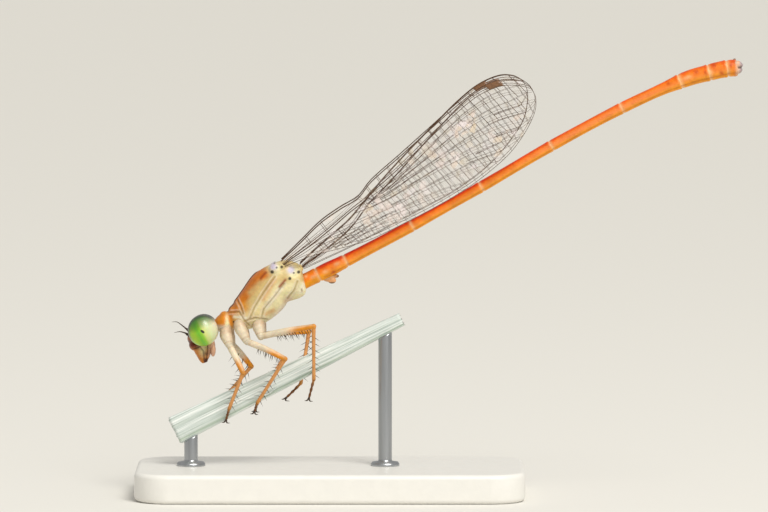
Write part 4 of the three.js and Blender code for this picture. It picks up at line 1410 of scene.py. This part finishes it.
def blend(tree, share, first, second, kind="MIX"):
    """Blends two colours, each of them a socket or three numbers."""
    inputs = {0: share}
    for slot, colour in ((6, first), (7, second)):
        inputs[slot] = colour if isinstance(colour, bpy.types.NodeSocket) else (*colour, 1)
    return add(tree, "ShaderNodeMix", inputs, data_type="RGBA", blend_type=kind)[2]


def ramp(tree, value, stops):
    """A colour ramp. A stop's colour is three numbers, or one number for a grey."""
    node = tree.nodes.new("ShaderNodeValToRGB")
    elements = node.color_ramp.elements
    while len(elements) < len(stops):
        elements.new(0.5)
    for element, (place, colour) in zip(elements, stops):
        element.position = place
        element.color = (*(colour if np.ndim(colour) else (colour,) * 3), 1)
    connect(node, {"Fac": value})
    return node.outputs["Color"]


def object_place(tree):
    return add(tree, "ShaderNodeTexCoord", {})["Object"]


def stretched(tree, vector, pitch, size, centre=(0, 0, 0)):
    """Coordinates around a centre, pitched up from X and counted in cells of a given size."""
    inputs = {"Vector": vector, "Location": centre, "Rotation": (0, -pitch, 0), "Scale": size}
    return add(tree, "ShaderNodeMapping", inputs, vector_type="TEXTURE")["Vector"]


def grain_group():
    """Fine cuticle grain: a shade for the colour and a bumped normal."""
    tree, start = new_group("cuticle_grain", "ShaderNodeTree", (
        ("Scale", "NodeSocketFloat", 4000.0), ("Stretch", "NodeSocketVector", (1, 1, 1)),
        ("Depth", "NodeSocketFloat", 0.00001), ("Amount", "NodeSocketFloat", 0.2)),
        (("Shade", "NodeSocketFloat"), ("Normal", "NodeSocketVector")))
    where = add(tree, "ShaderNodeVectorMath", {0: object_place(tree), 1: start["Stretch"]},
                operation="MULTIPLY")["Vector"]
    fine = add(tree, "ShaderNodeTexNoise", {"Vector": where, "Scale": start["Scale"],
                                            "Detail": 3.0})["Fac"]
    finer = calculate(tree, "MULTIPLY", start["Scale"], 2.2)
    cells = add(tree, "ShaderNodeTexVoronoi", {"Vector": where, "Scale": finer})["Distance"]
    bump = add(tree, "ShaderNodeBump", {"Height": calculate(tree, "ADD", fine, cells),
                                        "Distance": start["Depth"]})
    darkest = calculate(tree, "SUBTRACT", 1.0, start["Amount"])
    shade = add(tree, "ShaderNodeMapRange", {"Value": fine, "From Min": 0.3, "From Max": 0.7,
                                             "To Min": darkest, "To Max": 1.0})
    add(tree, "NodeGroupOutput", {"Shade": shade["Result"], "Normal": bump["Normal"]})
    return tree


def use_grain(tree, scale, depth, amount, stretch=(1, 1, 1)):
    node = tree.nodes.new("ShaderNodeGroup")
    node.node_tree = GRAIN
    connect(node, {"Scale": scale, "Depth": depth, "Amount": amount, "Stretch": stretch})
    return node.outputs


def shaded(tree, colour, shade):
    return blend(tree, 1.0, colour, shade, "MULTIPLY")


def grained_material(name, colour, grain, inputs):
    """A plain colour under the grain."""
    material, tree = new_material(name)
    surface = use_grain(tree, *grain)
    return finish_material(material, {"Base Color": shaded(tree, colour, surface["Shade"]),
                                      "Normal": surface["Normal"], **inputs})


def painted(tree):
    return add(tree, "ShaderNodeAttribute", {}, attribute_name="tint")["Color"]


def cuticle_material():
    material, tree = new_material("cuticle")
    grain = use_grain(tree, 5200.0, 0.000012, 0.14)
    mottle = use_grain(tree, 1700.0, 0.00002, 0.2)
    colour = shaded(tree, shaded(tree, painted(tree), grain["Shade"]), mottle["Shade"])
    return finish_material(material, {
        "Base Color": colour, "Normal": grain["Normal"], "Roughness": 0.38, "Specular IOR Level": 0.3,
        "Subsurface Weight": 0.12, "Subsurface Radius": (0.9, 0.45, 0.2), "Subsurface Scale": 0.0004,
        "Coat Weight": 0.08, "Coat Roughness": 0.25})


EYE_COLOURS = ((0.2, srgb(160, 200, 0)), (0.36, srgb(104, 182, 0)), (0.46, srgb(140, 196, 24)),
               (0.53, srgb(204, 214, 120)), (0.7, srgb(206, 216, 160)), (0.95, srgb(216, 208, 180)))
EYE_CAP, EYE_RIM_SHADE, EYE_SPOT = srgb(36, 92, 26), srgb(34, 44, 8), srgb(24, 26, 12)
# The spot stretches down and back: pitch and half sizes
SPOT = {"pitch": -math.radians(36), "half": (0.17, 1000, 0.09)}


def eye_material(centre, side):
    """Green in front, mint behind, painted shade as a dark rim above, and the dark spot that faces
    sideways.
    """
    material, tree = new_material("compound_eye")
    where = object_place(tree)
    local = add(tree, "ShaderNodeMapping", {"Vector": where, "Location": tuple(-centre),
                                            "Scale": (1 / MM, 1 / MM, 1 / MM)})["Vector"]
    parts = add(tree, "ShaderNodeSeparateXYZ", {"Vector": local})

    def towards(x_weight, z_weight):
        forward = calculate(tree, "MULTIPLY", parts["X"], x_weight)
        upward = calculate(tree, "MULTIPLY_ADD", parts["Z"], z_weight, forward)
        return calculate(tree, "ADD", upward, 0.5)

    colour = ramp(tree, towards(0.45, 0.24), EYE_COLOURS)
    cap = ramp(tree, towards(-0.24, 0.5), ((0.56, 0.0), (0.72, 0.55), (0.98, 1.0)))
    colour = blend(tree, cap, colour, EYE_CAP)
    # A dark rim of painted shade where the eye meets the head, above and in front
    inward = calculate(tree, "MULTIPLY", parts["Y"], side)
    rim = ramp(tree, inward, ((0.2, 1.0), (0.5, 0.0)))
    above = ramp(tree, towards(-0.5, 0.5), ((0.4, 0.0), (0.7, 1.0)))
    colour = blend(tree, shaded(tree, rim, above), colour, EYE_RIM_SHADE)
    reach = add(tree, "ShaderNodeVectorMath", {0: stretched(tree, local, SPOT["pitch"], SPOT["half"])},
                operation="LENGTH")["Value"]
    colour = blend(tree, ramp(tree, reach, ((0.7, 1.0), (1.0, 0.0))), colour, EYE_SPOT)
    facets = add(tree, "ShaderNodeTexVoronoi", {"Vector": where, "Scale": 22000.0})["Distance"]
    bump = add(tree, "ShaderNodeBump", {"Height": facets, "Distance": 0.000006, "Strength": 0.5})
    return finish_material(material, {
        "Base Color": colour, "Normal": bump["Normal"], "Roughness": 0.32, "Coat Weight": 0.5,
        "Coat Roughness": 0.18, "Subsurface Weight": 0.2, "Subsurface Scale": 0.0003})


def horn_material(name, colour, roughness):
    return grained_material(name, colour, (9000.0, 0.000004, 0.35), {"Roughness": roughness})


MEMBRANE_TINTS = ((0.0, srgb(232, 214, 186)), (0.5, srgb(242, 226, 216)), (1.0, srgb(250, 240, 240)))
MEMBRANE_CELL = {"pitch": math.radians(34), "size": (0.0004, 0.01, 0.0003)}
# The brightest painted glint lies towards the tip
GLINT = {"centre": (8.4, 0.0, 23.0), "pitch": math.radians(48), "half": (1.0, 1000.0, 0.4)}


def membrane_material():
    """Most cells are nearly clear, and a few in patches carry painted glints, less clear than the rest.
    """
    material, tree = new_material("wing_membrane")
    where = object_place(tree)
    cells = add(tree, "ShaderNodeTexVoronoi", {
        "Vector": stretched(tree, where, MEMBRANE_CELL["pitch"], MEMBRANE_CELL["size"]),
        "Scale": 1.0}, feature="F1")
    split = add(tree, "ShaderNodeSeparateColor", {"Color": cells["Color"]})
    patches = add(tree, "ShaderNodeTexNoise", {"Vector": where, "Scale": 320.0})["Fac"]
    glint = calculate(tree, "MULTIPLY_ADD", split["Green"], 0.34, patches)
    streak = stretched(tree, where, GLINT["pitch"], tuple(MM * half for half in GLINT["half"]),
                       tuple(MM * place for place in GLINT["centre"]))
    reach = add(tree, "ShaderNodeVectorMath", {0: streak}, operation="LENGTH")["Value"]
    near = add(tree, "ShaderNodeMapRange", {"Value": reach, "From Min": 0.3, "From Max": 1.2,
                                            "To Min": 0.3, "To Max": 0.0})["Result"]
    clear = ramp(tree, calculate(tree, "ADD", glint, near), ((0.66, 0.02), (0.86, 0.06), (1.0, 0.36)))
    return finish_material(material, {"Base Color": ramp(tree, split["Red"], MEMBRANE_TINTS),
                                      "Alpha": clear, "Roughness": 0.22, "Specular IOR Level": 0.7})


GRASS_TONES = ((0.34, srgb(160, 172, 163)), (0.44, srgb(194, 204, 198)), (0.54, srgb(214, 221, 216)),
               (0.64, srgb(238, 241, 237)))
GRASS_FIBRE = (0.006, 0.0003, 0.0001)


def grass_material(tilt):
    material, tree = new_material("dry_grass")
    along = stretched(tree, object_place(tree), tilt, GRASS_FIBRE)
    fibres = add(tree, "ShaderNodeTexNoise", {"Vector": along, "Scale": 1.0, "Detail": 6.0,
                                              "Roughness": 0.65})["Fac"]
    bump = add(tree, "ShaderNodeBump", {"Height": fibres, "Distance": 0.00004, "Strength": 0.7})
    colour = shaded(tree, ramp(tree, fibres, GRASS_TONES), painted(tree))
    return finish_material(material, {"Base Color": colour, "Normal": bump["Normal"], "Roughness": 0.6})


def lacquer_material():
    return grained_material("lacquered_base", srgb(232, 230, 224), (1500.0, 0.000004, 0.03),
                            {"Roughness": 0.35})


def steel_material():
    return grained_material("brushed_rod", srgb(186, 189, 192), (2500.0, 0.000005, 0.25, (1, 1, 0.06)),
                            {"Metallic": 1.0, "Roughness": 0.32})


def floor_material():
    material, _ = new_material("pale_floor")
    return finish_material(material, {"Base Color": (*srgb(226, 224, 218), 1), "Roughness": 0.8})


# Scene: floor, lights and camera

FLOOR_SIZE = 8.0
LIGHTS = {
    "world": {"color": (1.0, 0.985, 0.95), "strength": 0.5},
    "key": {"place": (0.2, -0.35, 0.6), "target": (0, 0, 0), "energy": 1.8,
            "color": (1.0, 0.97, 0.9), "angle": math.radians(28)},
    "window": {"place": (0.1, -0.22, 0.2), "target": (0.002, 0, 0.015), "energy": 0.3, "size": 0.16},
}


def make_floor():
    mesh = bpy.data.meshes.new("floor")
    corners = [(x * FLOOR_SIZE, y * FLOOR_SIZE, 0) for x, y in ((-1, -1), (1, -1), (1, 1), (-1, 1))]
    mesh.from_pydata(corners, [], [(0, 1, 2, 3)])
    mesh.materials.append(floor_material())
    link_object("floor", mesh)


def look_at(obj, target):
    obj.rotation_euler = (Vector(target) - obj.location).to_track_quat("-Z", "Y").to_euler()


def make_lights():
    world = bpy.data.worlds.new("studio")
    bpy.context.scene.world = world
    world.use_nodes = True
    plan = LIGHTS["world"]
    connect(world.node_tree.nodes["Background"], {"Color": (*plan["color"], 1),
                                                  "Strength": plan["strength"]})
    sun = bpy.data.lights.new("key", "SUN")
    sun.angle = LIGHTS["key"]["angle"]
    sun.color = LIGHTS["key"]["color"]
    soft = bpy.data.lights.new("window", "AREA")
    soft.size = LIGHTS["window"]["size"]
    for data in (sun, soft):
        plan = LIGHTS[data.name]
        data.energy = plan["energy"]
        lamp = link_object(data.name, data)
        lamp.location = plan["place"]
        look_at(lamp, plan["target"])


def make_camera():
    data = bpy.data.cameras.new("camera")
    data.sensor_width = 36
    data.lens = VIEW["lens"]
    data.clip_start = 0.01
    data.clip_end = 50
    camera = link_object("camera", data)
    target = Vector(VIEW["target"]) * MM
    rise = math.radians(VIEW["elevation"])
    camera.location = target + Vector((0, -math.cos(rise), math.sin(rise))) * VIEW["distance"] * MM
    look_at(camera, target)
    bpy.context.scene.camera = camera


GRAIN = grain_group()
DARK_HORN = horn_material("dark_horn", srgb(60, 38, 14), 0.4)
VEIN = horn_material("vein", srgb(78, 46, 14), 0.45)
STIGMA = horn_material("wing_cell", srgb(126, 88, 58), 0.3)
MEMBRANE_CLEAR = membrane_material()
STEEL = steel_material()
WIRES = wire_tree()

make_camera()
make_lights()
make_floor()
bpy.context.scene.view_settings.view_transform = "Standard"


def settle(obj, slot, *nodes):
    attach(obj, BODY)
    if nodes:
        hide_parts(*nodes)


leg_nodes = [f"leg_{leg}_{part}" for leg in LEGS for part in ("coxa", "femur", "tibia", "tarsus")]
ring_nodes = [f"abdomen_{number}" for number in range(1, 11)]
settle(make_body_skin(), "thorax", "head", "neck", "prothorax", "synthorax", *ring_nodes, *leg_nodes)
for side_name, side_sign in SIDES.items():
    settle(make_eye(f"compound_eye_{side_name}", side_sign), "eye", f"eye_{side_name}")
for side_name in SIDES:
    settle(make_antenna(side_name), "antenna", f"antenna_{side_name}")
settle(make_spines(), "foot")
settle(make_claws(), "foot")
for pair_name in WING_PAIRS:
    for side_name, side_sign in SIDES.items():
        settle(make_wing(pair_name, side_sign), "wing", f"wing_{pair_name}_{side_name}")
settle(make_perch(), "grass", "perch_blade")
settle(make_base(), "stand_base", "stand_base")
for rod_name, rod_x in ROD["places"].items():
    settle(make_rod(f"stand_rod_{rod_name}_round", rod_x), "stand_rod", f"stand_rod_{rod_name}")
